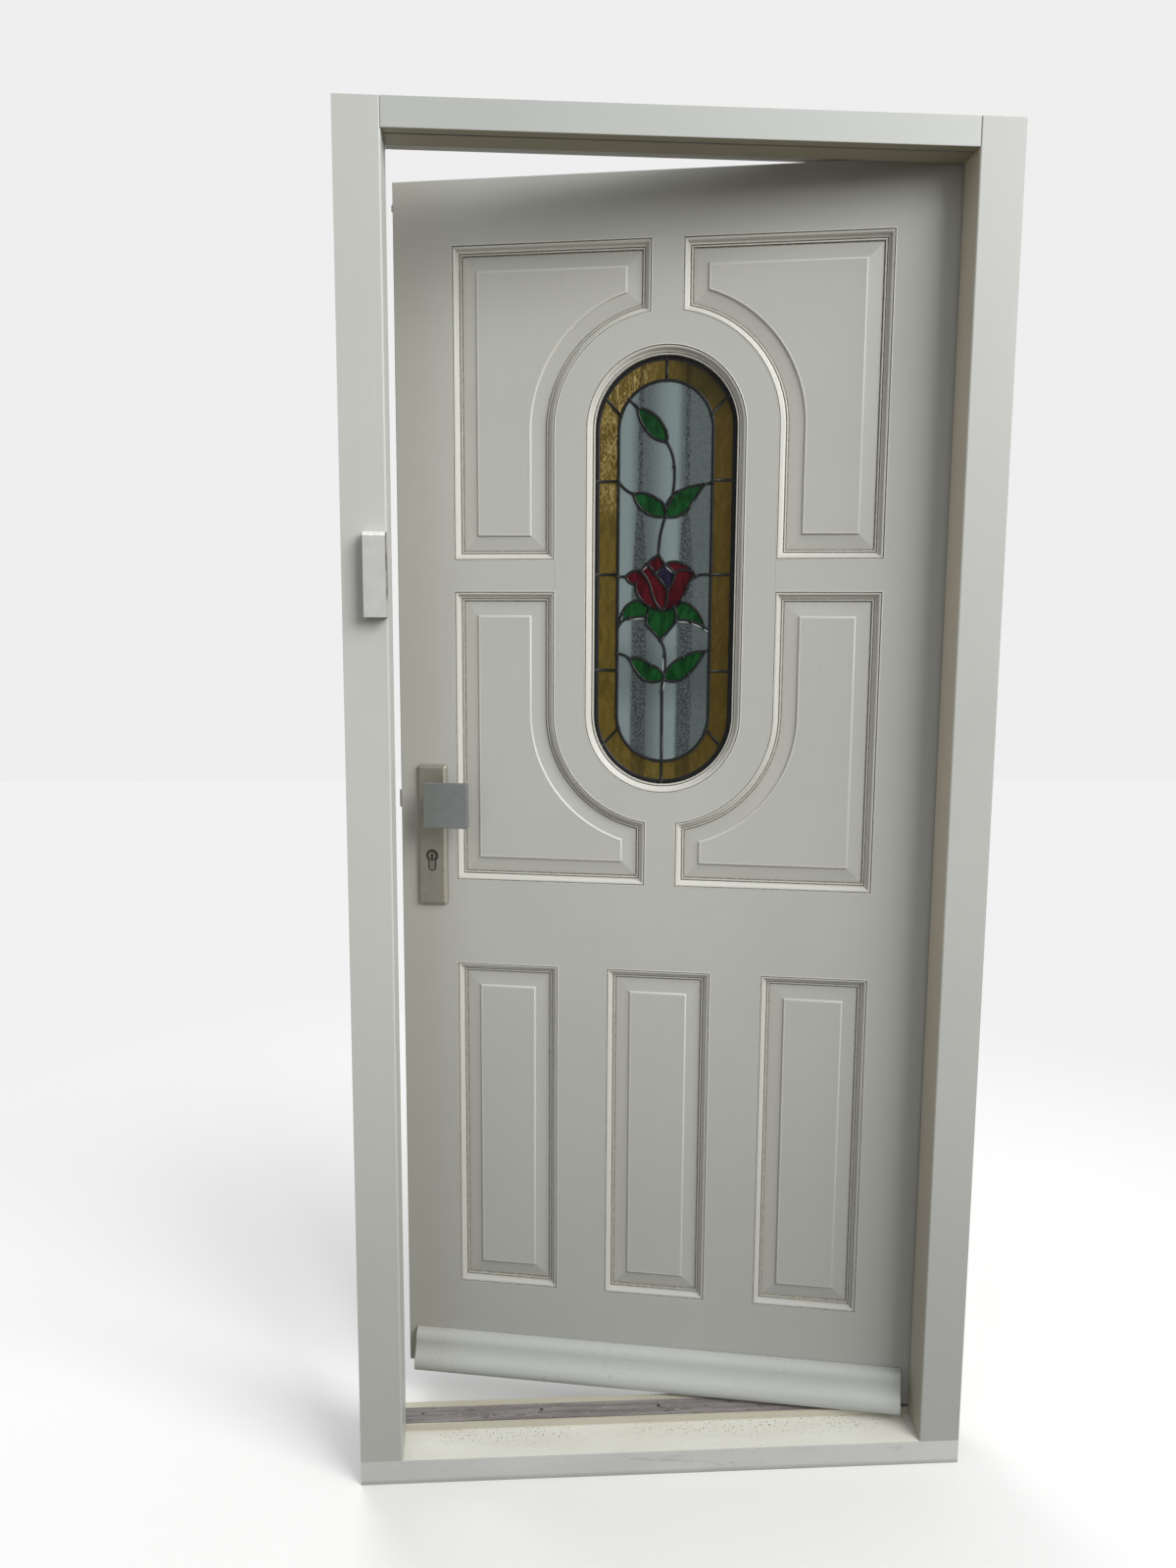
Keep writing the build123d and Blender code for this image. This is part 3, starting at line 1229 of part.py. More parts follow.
def lock_mortise():
    """Everything cut out of the latch stile for the lock and furniture."""
    x0, x1, y0, y1, z0, z1 = case_limits(CASE_PLAY)
    tool = block(x0, x1, y0, y1, z0, z1)
    z = faceplate_middle()
    half = FACE_WIDTH / 2
    tool += block(-HALF_LEAF - 1, -HALF_LEAF + FACE_THICKNESS, MID_Y - half, MID_Y + half,
                  z - FACE_HEIGHT / 2, z + FACE_HEIGHT / 2)
    tool += bar12(SPINDLE_X, FACE_Y - 1, SPINDLE_Z, FOLLOWER_RADIUS + 2.0, LEAF_THICKNESS + 2, (0, 1, 0))
    low = CYLINDER_Z + PROFILE_RADIUS - PROFILE_HEIGHT
    tool += block(SPINDLE_X - PROFILE_RADIUS - 0.5, SPINDLE_X + PROFILE_RADIUS + 0.5, FACE_Y - 1, FRAME_BACK + 1,
                  low - 0.5, CYLINDER_Z + PROFILE_RADIUS + 0.5)
    for screw in faceplate_screws():
        tool += screw
    for place in plate_screw_heights():
        half = PLATE_SCREW_RADIUS
        tool += block(SPINDLE_X - half, SPINDLE_X + half, FACE_Y - 1, FRAME_BACK + 1, place - half, place + half)
    return tool


# Furniture

def backplate(outside):
    """Long plate with rounded corners and bevelled long edges."""
    half = PLATE_WIDTH / 2
    outline = rectangle(SPINDLE_X - half, SPINDLE_X + half, PLATE_Z - PLATE_HEIGHT / 2, PLATE_Z + PLATE_HEIGHT / 2)
    if outside:
        plate = through(outline, FACE_Y - PLATE_THICKNESS, FACE_Y)
        front = FACE_Y - PLATE_THICKNESS
    else:
        plate = through(outline, FRAME_BACK, FRAME_BACK + PLATE_THICKNESS)
        front = FRAME_BACK + PLATE_THICKNESS
    plate = fillet(plate.edges().filter_by(Axis.Y), 5.0)
    long_edges = plate.edges().filter_by(Axis.Z).filter_by_position(Axis.Y, front - 0.1, front + 0.1)
    plate = chamfer(long_edges, PLATE_BEVEL, PLATE_BEVEL * 0.9)
    plate -= through(profile_face(0.15), FACE_Y - 20, FRAME_BACK + 20)
    if not outside:
        plate -= rod(SPINDLE_X, FRAME_BACK - 1, SPINDLE_Z, LEVER_RADIUS + 0.3, PLATE_THICKNESS + 2, (0, 1, 0))
    for z in plate_screw_heights():
        plate -= plate_screw(z)
    return plate


def plate_screw_heights():
    return (PLATE_Z - PLATE_HEIGHT / 2 + PLATE_SCREW_EDGE, SPINDLE_Z + PLATE_TOP - PLATE_SCREW_EDGE)


def plate_screw(z):
    """Bolt through both plates, driven from the room side into a blind thread."""
    head_y = FRAME_BACK + PLATE_THICKNESS
    end_y = FACE_Y - PLATE_THICKNESS + 3.0
    return screw((SPINDLE_X, head_y, z), (0, -1, 0), PLATE_SCREW_HEAD, head_y - end_y, 2.0)


def knob_neck():
    """Cast neck that carries the fixed knob over towards the middle of the leaf."""
    y0 = FACE_Y - PLATE_THICKNESS
    y1 = FACE_Y - KNOB_PROJECTION + KNOB_THICKNESS
    reach = KNOB_OFFSET - 8.0
    foot = Plane((SPINDLE_X, y0, SPINDLE_Z), z_dir=(0, -1, 0)) * RegularPolygon(NECK_RADIUS, 16)
    waist = Plane((SPINDLE_X + 0.35 * reach, (y0 + y1) / 2, SPINDLE_Z), z_dir=(0, -1, 0))
    head = Plane((SPINDLE_X + reach, y1, SPINDLE_Z), z_dir=(0, -1, 0)) * RegularPolygon(NECK_RADIUS - 1.0, 16)
    return loft([foot, waist * RegularPolygon(NECK_RADIUS - 2.5, 16), head], ruled=True)


def knob_plate():
    """Square grip of the fixed knob."""
    half = KNOB_SIZE / 2
    x = SPINDLE_X + KNOB_OFFSET
    y0 = FACE_Y - KNOB_PROJECTION
    grip = block(x - half, x + half, y0, y0 + KNOB_THICKNESS, SPINDLE_Z - half, SPINDLE_Z + half)
    grip = fillet(grip.edges().filter_by(Axis.Y), 2.0)
    rim = grip.faces().sort_by(Axis.Y)[0].edges()
    return chamfer(rim, 1.0)


def lever():
    """Room-side lever with its neck."""
    y0 = FRAME_BACK + 1.0
    y1 = FRAME_BACK + LEVER_PROJECTION
    neck = rod(SPINDLE_X, y0, SPINDLE_Z, LEVER_RADIUS, y1 - y0, (0, 1, 0))
    bar = block(SPINDLE_X, SPINDLE_X + LEVER_LENGTH, y1 - 1.1 * LEVER_RADIUS, y1,
                SPINDLE_Z - LEVER_RADIUS, SPINDLE_Z + LEVER_RADIUS)
    tip = bar.edges().filter_by(Axis.Y).group_by(Axis.X)[-1]
    return neck + fillet(tip, 0.7 * LEVER_RADIUS)


def spindle():
    """Square bar from the outer plate's blind seat to the lever."""
    half = SPINDLE_SIZE / 2
    return block(SPINDLE_X - half, SPINDLE_X + half, FACE_Y + 1.0, FRAME_BACK + 1.0,
                 SPINDLE_Z - half, SPINDLE_Z + half)


# Strike, lug and their pockets

def strike_limits():
    z0 = BOLT_Z - BOLT_HEIGHT / 2 - STRIKE_MARGIN
    z1 = SPINDLE_Z + LATCH_HEIGHT / 2 + STRIKE_MARGIN
    return z0, z1


def pocket(z_middle, height, thickness, deep):
    """A bolt's hole in the strike and in the post behind it."""
    p = POCKET_PLAY
    return block(-REBATE_X - deep, -REBATE_X + 1, MID_Y - thickness / 2 - p, MID_Y + thickness / 2 + p,
                 z_middle - height / 2 - p, z_middle + height / 2 + p)


def pockets(deep):
    latch = pocket(SPINDLE_Z, LATCH_HEIGHT, LATCH_THICKNESS, deep)
    return latch + pocket(BOLT_Z, BOLT_HEIGHT, BOLT_THICKNESS, deep)


def strike_plate():
    z0, z1 = strike_limits()
    half = STRIKE_WIDTH / 2
    plate = block(-REBATE_X - STRIKE_THICKNESS, -REBATE_X, MID_Y - half, MID_Y + half, z0, z1)
    plate = fillet(plate.edges().filter_by(Axis.X), 3.0)
    plate -= pockets(STRIKE_THICKNESS + 1)
    for screw in strike_screws():
        plate -= screw
    return plate


def strike_screws():
    z0, z1 = strike_limits()
    return [edge_screw(-REBATE_X, MID_Y, z, -1, 4.0, 30.0) for z in (z0 + 14.0, z1 - 14.0)]


def strike_bed():
    """Everything cut out of the latch post."""
    z0, z1 = strike_limits()
    half = STRIKE_WIDTH / 2
    tool = block(-REBATE_X - STRIKE_THICKNESS, -REBATE_X + 1, MID_Y - half, MID_Y + half, z0, z1)
    tool += pockets(POCKET_DEPTH)
    for screw in strike_screws():
        tool += screw
    lug_z = LEAF_TOP - LUG_DROP
    size = LUG_SIZE / 2 + POCKET_PLAY
    reach = LUG_REACH - LEAF_GAP + POCKET_PLAY
    return tool + block(-REBATE_X - reach, -REBATE_X + 1, MID_Y - size, MID_Y + size, lug_z - size, lug_z + size)


def edge_lug():
    """Steel lug that stands out of the latch edge."""
    z = LEAF_TOP - LUG_DROP
    size = LUG_SIZE / 2
    base = block(-HALF_LEAF, -HALF_LEAF + LIPPING - 1.0, MID_Y - size, MID_Y + size, z - 2 * size, z + 2 * size)
    tongue = block(-HALF_LEAF - LUG_REACH, -HALF_LEAF, MID_Y - size / 2, MID_Y + size / 2, z - size, z + size)
    tip = tongue.edges().filter_by(Axis.Y).group_by(Axis.X)[0]
    return base + fillet(tip, 2.5)


def lug_bed():
    z = LEAF_TOP - LUG_DROP
    size = LUG_SIZE / 2
    return block(-HALF_LEAF - 1, -HALF_LEAF + LIPPING - 1.0, MID_Y - size, MID_Y + size, z - 2 * size, z + 2 * size)


def frame_parts():
    parts = {}
    left = jamb(-1) - strike_bed()
    right = jamb(1)
    for index in range(len(HINGE_HEIGHTS)):
        right -= hinge_recess(index, False)
        for place in hinge_screw_places(index):
            right -= hinge_screw(place, False)
    parts["jamb_latch_side"] = left
    parts["jamb_hinge_side"] = right
    parts["head_rail"] = head_rail()
    parts["sill"] = sill()
    parts["threshold_strip"] = threshold_strip()
    parts["threshold_screws"] = Compound(children=[strip_screw(x) for x in strip_screw_places()])
    parts["weather_seal"] = seals()
    parts["jamb_block"] = jamb_block()
    parts["strike_plate"] = strike_plate()
    parts["strike_screws"] = Compound(children=strike_screws())
    return parts


def hinge_parts():
    fixed = {}
    moving = {}
    hinges = range(len(HINGE_HEIGHTS))
    fixed["hinge_frame_flaps"] = Compound(children=[hinge_plate(i, False) for i in hinges])
    fixed["hinge_pins"] = Compound(children=[hinge_pin(i) for i in hinges])
    moving["hinge_leaf_flaps"] = Compound(children=[hinge_plate(i, True) for i in hinges])
    places = [place for i in hinges for place in hinge_screw_places(i)]
    fixed["hinge_frame_screws"] = Compound(children=[hinge_screw(p, False) for p in places])
    moving["hinge_leaf_screws"] = Compound(children=[hinge_screw(p, True) for p in places])
    return fixed, moving


def leaf_parts():
    panels = all_panels()
    carcase = Carcase(panels)
    parts = leaf_members(carcase)
    mortise = lock_mortise()
    parts["latch_stile"] -= mortise
    parts["lock_rail"] -= mortise
    parts["latch_edge_lipping"] = lipping() - mortise - lug_bed()
    for index in range(len(HINGE_HEIGHTS)):
        parts["hinge_stile"] -= hinge_recess(index, True)
    places = [place for i in range(len(HINGE_HEIGHTS)) for place in hinge_screw_places(i)]
    parts["hinge_stile"] -= [hinge_screw(place, True) for place in places]
    for name, panel in panels.items():
        if panel.side > 0:
            parts[name] = flipped(parts[name.replace("right", "left")])
        else:
            parts[name] = panel_solid(panel)
    parts.update(glazing())
    parts["weatherboard"] = weatherboard()
    parts["edge_lug"] = edge_lug()
    return parts


def lock_parts():
    return {
        "lock_case": lock_case(),
        "lock_faceplate": faceplate(),
        "lock_screws": Compound(children=[*faceplate_screws(), cylinder_screw()]),
        "latch_bolt": latch_bolt(),
        "deadbolt": deadbolt(),
        "follower": follower(),
        "cylinder_body": cylinder_body(),
        "cylinder_plug": cylinder_plug(),
        "cylinder_cam": cylinder_cam(),
        "backplate_outside": backplate(True),
        "backplate_inside": backplate(False),
        "plate_screws": Compound(children=[plate_screw(z) for z in plate_screw_heights()]),
        "outside_knob": knob_neck() + knob_plate(),
        "inside_lever": lever() + spindle(),
    }


def main():
    os.makedirs("parts", exist_ok=True)
    fixed, moving = hinge_parts()
    standing = {**frame_parts(), **fixed}
    swinging = {**leaf_parts(), **lock_parts(), **moving}
    for name, shape in swinging.items():
        standing[name] = shape.rotate(HINGE_AXIS, -AJAR_ANGLE)
    for name, shape in standing.items():
        export_step(shape, "parts/" + name + ".step")
    print(len(standing), "pieces")


if __name__ == "__main__":
    main()
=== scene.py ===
import math

import bmesh
import bpy
from mathutils import Matrix, Vector, noise

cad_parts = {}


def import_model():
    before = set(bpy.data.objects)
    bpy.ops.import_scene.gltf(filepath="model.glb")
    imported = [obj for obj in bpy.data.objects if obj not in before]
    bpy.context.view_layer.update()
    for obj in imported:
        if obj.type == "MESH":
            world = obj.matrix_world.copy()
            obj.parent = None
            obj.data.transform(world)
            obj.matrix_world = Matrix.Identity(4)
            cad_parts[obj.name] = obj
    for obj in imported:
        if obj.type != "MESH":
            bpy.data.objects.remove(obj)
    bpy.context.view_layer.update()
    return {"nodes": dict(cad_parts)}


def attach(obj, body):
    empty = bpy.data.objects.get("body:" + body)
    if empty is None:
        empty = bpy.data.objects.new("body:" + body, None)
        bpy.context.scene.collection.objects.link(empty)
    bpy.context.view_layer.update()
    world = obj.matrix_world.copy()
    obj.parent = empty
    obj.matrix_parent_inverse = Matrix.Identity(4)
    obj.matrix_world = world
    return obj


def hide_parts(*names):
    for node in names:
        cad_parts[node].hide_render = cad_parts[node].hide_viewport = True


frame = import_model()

# Panelled front door, standing ajar in its frame. Finishes, lamps and camera use metres.
# What is drawn on the leaf uses the shut leaf in millimetres, and SHUT_TO_ROW sets it on the open leaf.

nodes = frame["nodes"]
MM = 0.001

# Places and sizes repeated from the part, in millimetres on the shut leaf apart from PIN, which is in metres
PIN = Vector((0.4415, 0.065, 0.0))
AJAR = math.radians(11.1)
FACE_Y = 3.0
LIGHT_Z = 1464.5
LIGHT_HALF_RUN = 228.0
SIGHT_RADIUS = 113.0
INNER_RADIUS = 75.5
GLASS_EDGE = 121.0
RING_RADIUS = 178.0
CAME_FRONT = 18.0
CAME_BACK = 24.0
CYLINDER_X = -385.0
CYLINDER_Z = 994.5
CYLINDER_RADIUS = 8.5
CYLINDER_NECK = 5.0        # half the width of its lower lobe
CYLINDER_HEIGHT = 33.0
PLATE_THICK = 9.0
CYLINDER_PROUD = 1.0

# Finer sizes that only the looks have, in millimetres
RIM_RADIUS = 105.2         # inner edge of the came that shows round the sight edge, drawn wider than the real came to paint the shadow there
CAME_WIDTH = 5.0
CAME_CROWN = 0.2           # how far a rounded came stands before the flat one
BORDER_WIDER = 0.6         # how much wider the came of the inner oval is
CAME_TUCK = 2.0            # how far a came goes in behind the sight edge
SOLDER_RADIUS = 3.1
SOLDER_HEIGHT = 0.75
SOLDER_PROUD = 0.1
CYLINDER_JOINT = 2.0       # width of the painted shadow in the joint in the backplate
PLUG_JOINT = (8.3, 6.4)    # radii
KEYWAY_JOINT = (2.3, 0.3)
JOINT_THICK = 0.4
JOINT_LIFT = 0.06
KEYWAY_LIFT = 0.07
SKIN = 0.5                 # thickness of what is laid on the leaf's face
LIFT = 0.02                # how far it stands off that face

# Places in metres where a finish changes
LOW_SHADE = (1.15, 0.02)                # painted shade grows from the first height down to the second
HANDLED = (-0.30, -0.43)             # hand dirt grows along the latch edge
SHADED = (0.0, 0.36)                 # and painted shade towards the hinge edge
JAMB_REVEAL_X = 0.4260
HEAD_SOFFIT_Z = 2.0630
SILL_BRINK = (0.0405, 0.0390)        # heights where the sill's front face begins
SILL_FOOT_SHADE = (0.010, 0.0)
SILL_SOILED = (-0.040, -0.014)       # depths on the slope
SILL_BARE = (-0.004, 0.001)
SILL_GROOVE_Y = 0.0047
BLOCK_CROWN = (1.504, 1.5075)
BLOCK_SIDE = (-0.4268, -0.4262)
BLOCK_WORN = (1.408, 1.425)
STRIP_END = (-0.33, -0.42)
BAR_MIDDLES = (-0.040, 0.0345)       # the two dark bars in the glass, painted surroundings seen in it
BAR_TAPER = (1.62, 1.44)
PALE_LEFT = (-0.060, -0.040)         # the field's paler stretches, painted surroundings seen in the glass
PALE_MIDDLE = ((-0.034, 0.010), (0.016, 0.030))
# height of a painted dark reflection across the field
DARK_REFLECTION_Z = 1.305
AMBER_DEEPER = (-0.02, 0.09)         # the amber darkens to the right
WISP_LEFT = (-0.06, 0.0)             # pale wisps at its upper left
WISP_LOW = (1.54, 1.60)
AMBER_TOP = (1.70, 1.76)             # dark reflection at its upper right
AMBER_TOP_RIGHT = (0.0, 0.05)

SHUT_TO_ROW = (Matrix.Translation(PIN) @ Matrix.Rotation(-AJAR, 4, "Z") @ Matrix.Translation(-PIN)
               @ Matrix.Scale(MM, 4))


def srgb(red, green, blue):
    """A screen colour as the linear values that shaders take."""
    def linear(v):
        v = v / 255.0
        return v / 12.92 if v <= 0.04045 else ((v + 0.055) / 1.055) ** 2.4
    return (linear(red), linear(green), linear(blue), 1.0)


def shade(colour, share):
    """A darker or paler tone of a colour."""
    return tuple(min(1.0, share * c) for c in colour[:3]) + (1.0,)


# Node materials

class Nodes:
    """A node tree built up one node at a time."""

    def __init__(self, tree):
        self.tree = tree

    def feed(self, socket, value):
        if isinstance(value, bpy.types.NodeSocket):
            self.tree.links.new(value, socket)
        else:
            socket.default_value = value

    def node(self, kind, inputs=None, **settings):
        made = self.tree.nodes.new("ShaderNode" + kind)
        for key, value in settings.items():
            setattr(made, key, value)
        for key, value in (inputs or {}).items():
            self.feed(made.inputs[key], value)
        return made

    def math(self, operation, a, b=0.0):
        return self.node("Math", {0: a, 1: b}, operation=operation).outputs[0]

    def times(self, a, b):
        return self.math("MULTIPLY", a, b)

    def plus(self, a, b):
        return self.math("ADD", a, b)

    def beyond(self, value, middle):
        """Distance of a value from its middle."""
        return self.math("ABSOLUTE", self.math("SUBTRACT", value, middle))

    def swing(self, value, width):
        """A noise turned into a shift to both sides, over a width."""
        return self.times(self.math("SUBTRACT", value, 0.5), width)

    def outside(self, share):
        return self.math("SUBTRACT", 1.0, share)

    def mix(self, share, a, b):
        return self.node("Mix", {0: share, 6: a, 7: b}, data_type="RGBA").outputs[2]

    def over(self, tone, share, strength, colour):
        """Lay a colour over a tone, at a strength, where the share says."""
        return self.mix(self.times(share, strength), tone, colour)

    def noise(self, place, scale, detail=3.0, rough=0.5, distortion=0.0):
        inputs = {"Vector": place, "Scale": scale, "Detail": detail, "Roughness": rough,
                  "Distortion": distortion}
        return self.node("TexNoise", inputs).outputs[0]

    def fibre(self, place, stretch, detail=4.0, rough=0.6, distortion=0.0):
        """Noise drawn out along an axis, with its own scale on each."""
        return self.noise(self.stretched(place, *stretch), 1.0, detail, rough, distortion)

    def step(self, value, low, high):
        """Nought below low, one above high and smooth between."""
        inputs = {"Value": value, "From Min": low, "From Max": high}
        return self.node("MapRange", inputs, interpolation_type="SMOOTHSTEP").outputs[0]

    def stretched(self, place, x, y, z):
        return self.node("Mapping", {"Vector": place, "Scale": (x, y, z)}).outputs[0]

    def split(self, vector):
        return self.node("SeparateXYZ", {0: vector}).outputs

    def bump(self, height, distance, strength=1.0, under=None):
        inputs = {"Height": height, "Distance": distance, "Strength": strength}
        if under is not None:
            inputs["Normal"] = under
        return self.node("Bump", inputs).outputs[0]


class Finish(Nodes):
    """A material, its shader and the places that it reads."""

    def __init__(self, name):
        self.mat = bpy.data.materials.new(name)
        self.mat.use_nodes = True
        super().__init__(self.mat.node_tree)
        self.shader = self.tree.nodes["Principled BSDF"]

    def set(self, **values):
        for key, value in values.items():
            self.feed(self.shader.inputs[key.replace("_", " ")], value)

    def place(self, on_leaf=False):
        """Position in metres, in the row frame or in that of the shut leaf."""
        here = self.node("TexCoord").outputs["Object"]
        if not on_leaf:
            return here
        inputs = {"Vector": here, "Center": PIN, "Angle": AJAR}
        return self.node("VectorRotate", inputs, rotation_type="Z_AXIS").outputs[0]

    def facing(self, on_leaf=False):
        """Parts of the surface's normal, in the row frame or in that of the shut leaf."""
        normal = self.node("TexCoord").outputs["Normal"]
        if on_leaf:
            inputs = {"Vector": normal, "Angle": AJAR}
            normal = self.node("VectorRotate", inputs, rotation_type="Z_AXIS").outputs[0]
        return self.split(normal)

    def crevice_shade(self, reach):
        """One in deep corners and nought on open faces, from ambient occlusion, for painted shade."""
        made = self.node("AmbientOcclusion", {"Distance": reach}, samples=6)
        return self.outside(made.outputs["AO"])


PLANED = {"Z": (260.0, 260.0, 9.0), "X": (9.0, 260.0, 260.0)}
BRUSHED = {"Z": (1500.0, 1500.0, 12.0), "Y": (900.0, 30.0, 900.0)}
PAINTED_SHADE_GREY = srgb(112, 114, 110)
LEVEL = 0.06               # part of the normal up to which a face counts as level
SLOPED = 0.2               # and from which it is a slope


def paint(name, colour, along="Z", on_leaf=True, dirt_and_shade=0.55, rough=0.42, seam=None, specks=0.0, reveal=None,
          slopes=0.0):
    """Brushed gloss paint on planed timber, with dirt and painted shade in its corners.

    A seam is a joint at a distance from the middle. A reveal is an axis, a place and the colour painted on
    the reveal's face for its light and shade.
    Slopes paints light on the raised panels' slopes that face left and shade on those that face right or up,
    to even out their light and dark sides."""
    f = Finish(name)
    place = f.place(on_leaf)
    grain = f.fibre(place, PLANED[along])
    cloud = f.noise(place, 4.0, 4.0, 0.55)
    pores = f.noise(place, 700.0, 2.0)
    tone = f.mix(f.step(cloud, 0.32, 0.68), shade(colour, 0.98), shade(colour, 1.015))
    tone = f.over(tone, f.step(grain, 0.5, 0.9), 0.10, srgb(150, 145, 130))
    # Painted shade with dirt: deep corners, found by ambient occlusion, darken in patches to a brown.
    corner_shade = f.step(f.crevice_shade(0.005), 0.16, 0.62)
    corner_dirt_and_shade = f.times(corner_shade, f.step(f.noise(place, 30.0, 3.0), 0.05, 0.5))
    tone = f.over(tone, corner_dirt_and_shade, dirt_and_shade, srgb(96, 86, 66))
    x, _, z = f.split(place)
    if slopes:
        aside, _, upward = f.facing(on_leaf)
        # Painted light on the slopes that face left, painted shade on those that face right or up.
        tone = f.over(tone, f.step(aside, -LEVEL, -SLOPED), slopes, srgb(236, 232, 220))
        shaded_slopes = f.math("MAXIMUM", f.step(aside, LEVEL, SLOPED), f.step(upward, LEVEL, SLOPED))
        tone = f.over(tone, shaded_slopes, 0.7 * slopes, srgb(112, 112, 106))
    # A reveal's face takes a colour that paints its light and shade.
    if reveal:
        axis, edge, reveal_lighting_tone = reveal
        turned = f.step({"X": x, "Z": z}[axis], edge + 0.0009, edge + 0.0003)
        tone = f.over(tone, turned, 0.75, reveal_lighting_tone)
    if specks:
        dots = f.step(f.noise(place, 300.0, 2.0), 0.66, 0.70)
        where = f.times(f.step(f.noise(place, 14.0, 3.0), 0.42, 0.60), specks)
        tone = f.over(tone, dots, where, srgb(88, 82, 68))
    # Painted shade: darker towards the bottom.
    tone = f.over(tone, f.step(z, *LOW_SHADE), 0.40, PAINTED_SHADE_GREY)
    if on_leaf:
        tone = f.over(tone, f.step(x, *HANDLED), 0.32, srgb(146, 140, 118))
        # Painted shade: darker towards the hinge edge.
        tone = f.over(tone, f.step(x, *SHADED), 0.16, PAINTED_SHADE_GREY)
    if seam:
        line = f.step(f.math("ABSOLUTE", x), seam - 0.0008, seam - 0.0003)
        tone = f.over(tone, line, 0.6, srgb(120, 114, 100))
    gloss = f.plus(f.times(cloud, 0.16), rough - 0.08)
    low = f.bump(grain, 0.00022, 0.55)
    f.set(Base_Color=tone, Roughness=gloss, Normal=f.bump(pores, 0.00006, 0.5, low))
    f.set(Specular_IOR_Level=0.45)
    return f.mat


def sill_paint():
    """Paint that has weathered, with black specks and grime along the slope, and painted shade along its
    foot.
    """
    f = Finish("sill_paint")
    place = f.place()
    _, y, z = f.split(place)
    cloud = f.fibre(place, (6.0, 30.0, 30.0), 5.0)
    blend = f.step(cloud, 0.3, 0.7)
    slope = f.mix(blend, srgb(198, 197, 186), srgb(204, 204, 196))
    front = f.step(z, *SILL_BRINK)
    tone = f.mix(front, slope, f.mix(blend, srgb(190, 192, 189), srgb(198, 200, 198)))
    specks = f.step(f.noise(place, 330.0, 2.0), 0.62, 0.67)
    patch = f.step(f.noise(place, 11.0, 3.0), 0.38, 0.56)
    share = f.times(f.times(specks, patch), f.plus(f.step(y, *SILL_SOILED), 0.16))
    tone = f.mix(f.math("MINIMUM", share, 0.8), tone, srgb(92, 82, 62))
    tone = f.over(tone, f.step(y, *SILL_BARE), 0.8, srgb(172, 166, 148))
    groove = f.step(f.beyond(y, SILL_GROOVE_Y), 0.0012, 0.0007)
    tone = f.over(tone, groove, 0.8, srgb(62, 58, 50))
    crack = f.step(f.fibre(place, (5.0, 60.0, 40.0), 6.0, 0.7, 1.2), 0.60, 0.66)
    tone = f.over(tone, f.times(crack, front), 0.28, srgb(120, 118, 110))
    # Painted shade along the foot of the sill.
    tone = f.over(tone, f.step(z, *SILL_FOOT_SHADE), 0.45, srgb(116, 110, 98))
    grain = f.fibre(place, (9.0, 260.0, 260.0))
    f.set(Base_Color=tone, Roughness=0.5, Normal=f.bump(grain, 0.0004, 0.6), Specular_IOR_Level=0.4)
    return f.mat


def block_paint():
    """Paint on the small timber block, chipped to brown wood along its right side."""
    f = Finish("block_paint")
    place = f.place()
    x, _, z = f.split(place)
    cloud = f.noise(place, 40.0, 4.0)
    tone = f.mix(f.step(cloud, 0.3, 0.7), srgb(190, 192, 188), srgb(197, 199, 196))
    # The block is paler along its top.
    crown_mottle = f.step(f.noise(place, 260.0, 4.0, 0.7), 0.4, 0.6)
    paler_crown = f.mix(crown_mottle, srgb(208, 206, 196), srgb(232, 231, 224))
    tone = f.mix(f.step(z, *BLOCK_CROWN), tone, paler_crown)
    worn = f.step(f.fibre(place, (120.0, 120.0, 34.0), 4.0, 0.7), 0.34, 0.56)
    band = f.times(f.step(x, *BLOCK_SIDE), worn)
    fibres = f.step(f.fibre(place, (300.0, 300.0, 40.0), 3.0, 0.5), 0.4, 0.6)
    wood = f.mix(fibres, srgb(54, 44, 36), srgb(132, 112, 98))
    tone = f.mix(f.times(band, f.step(z, *BLOCK_WORN)), tone, wood)
    f.set(Base_Color=tone, Roughness=0.48, Normal=f.bump(f.plus(cloud, band), 0.0006, 0.4))
    return f.mat


def strip_metal():
    """Weathered grey threshold strip with pale and dark speckles."""
    f = Finish("threshold_metal")
    place = f.place()
    cloud = f.fibre(place, (7.0, 130.0, 130.0), 5.0, 0.65)
    tone = f.mix(f.step(cloud, 0.3, 0.7), srgb(112, 108, 107), srgb(146, 141, 138))
    pale = f.step(f.noise(f.stretched(place, 0.4, 1.0, 1.0), 260.0, 2.0), 0.63, 0.70)
    dark = f.step(f.noise(f.stretched(place, 0.25, 1.3, 1.3), 170.0, 2.0), 0.62, 0.70)
    tone = f.over(tone, pale, 0.5, srgb(178, 174, 168))
    tone = f.over(tone, dark, 0.7, srgb(66, 60, 56))
    x = f.split(place)[0]
    end = f.step(f.plus(x, f.times(cloud, 0.05)), *STRIP_END)
    tone = f.over(tone, end, 0.5, srgb(58, 56, 56))
    f.set(Base_Color=tone, Roughness=0.6, Metallic=0.2, Normal=f.bump(cloud, 0.0004, 0.5))
    return f.mat


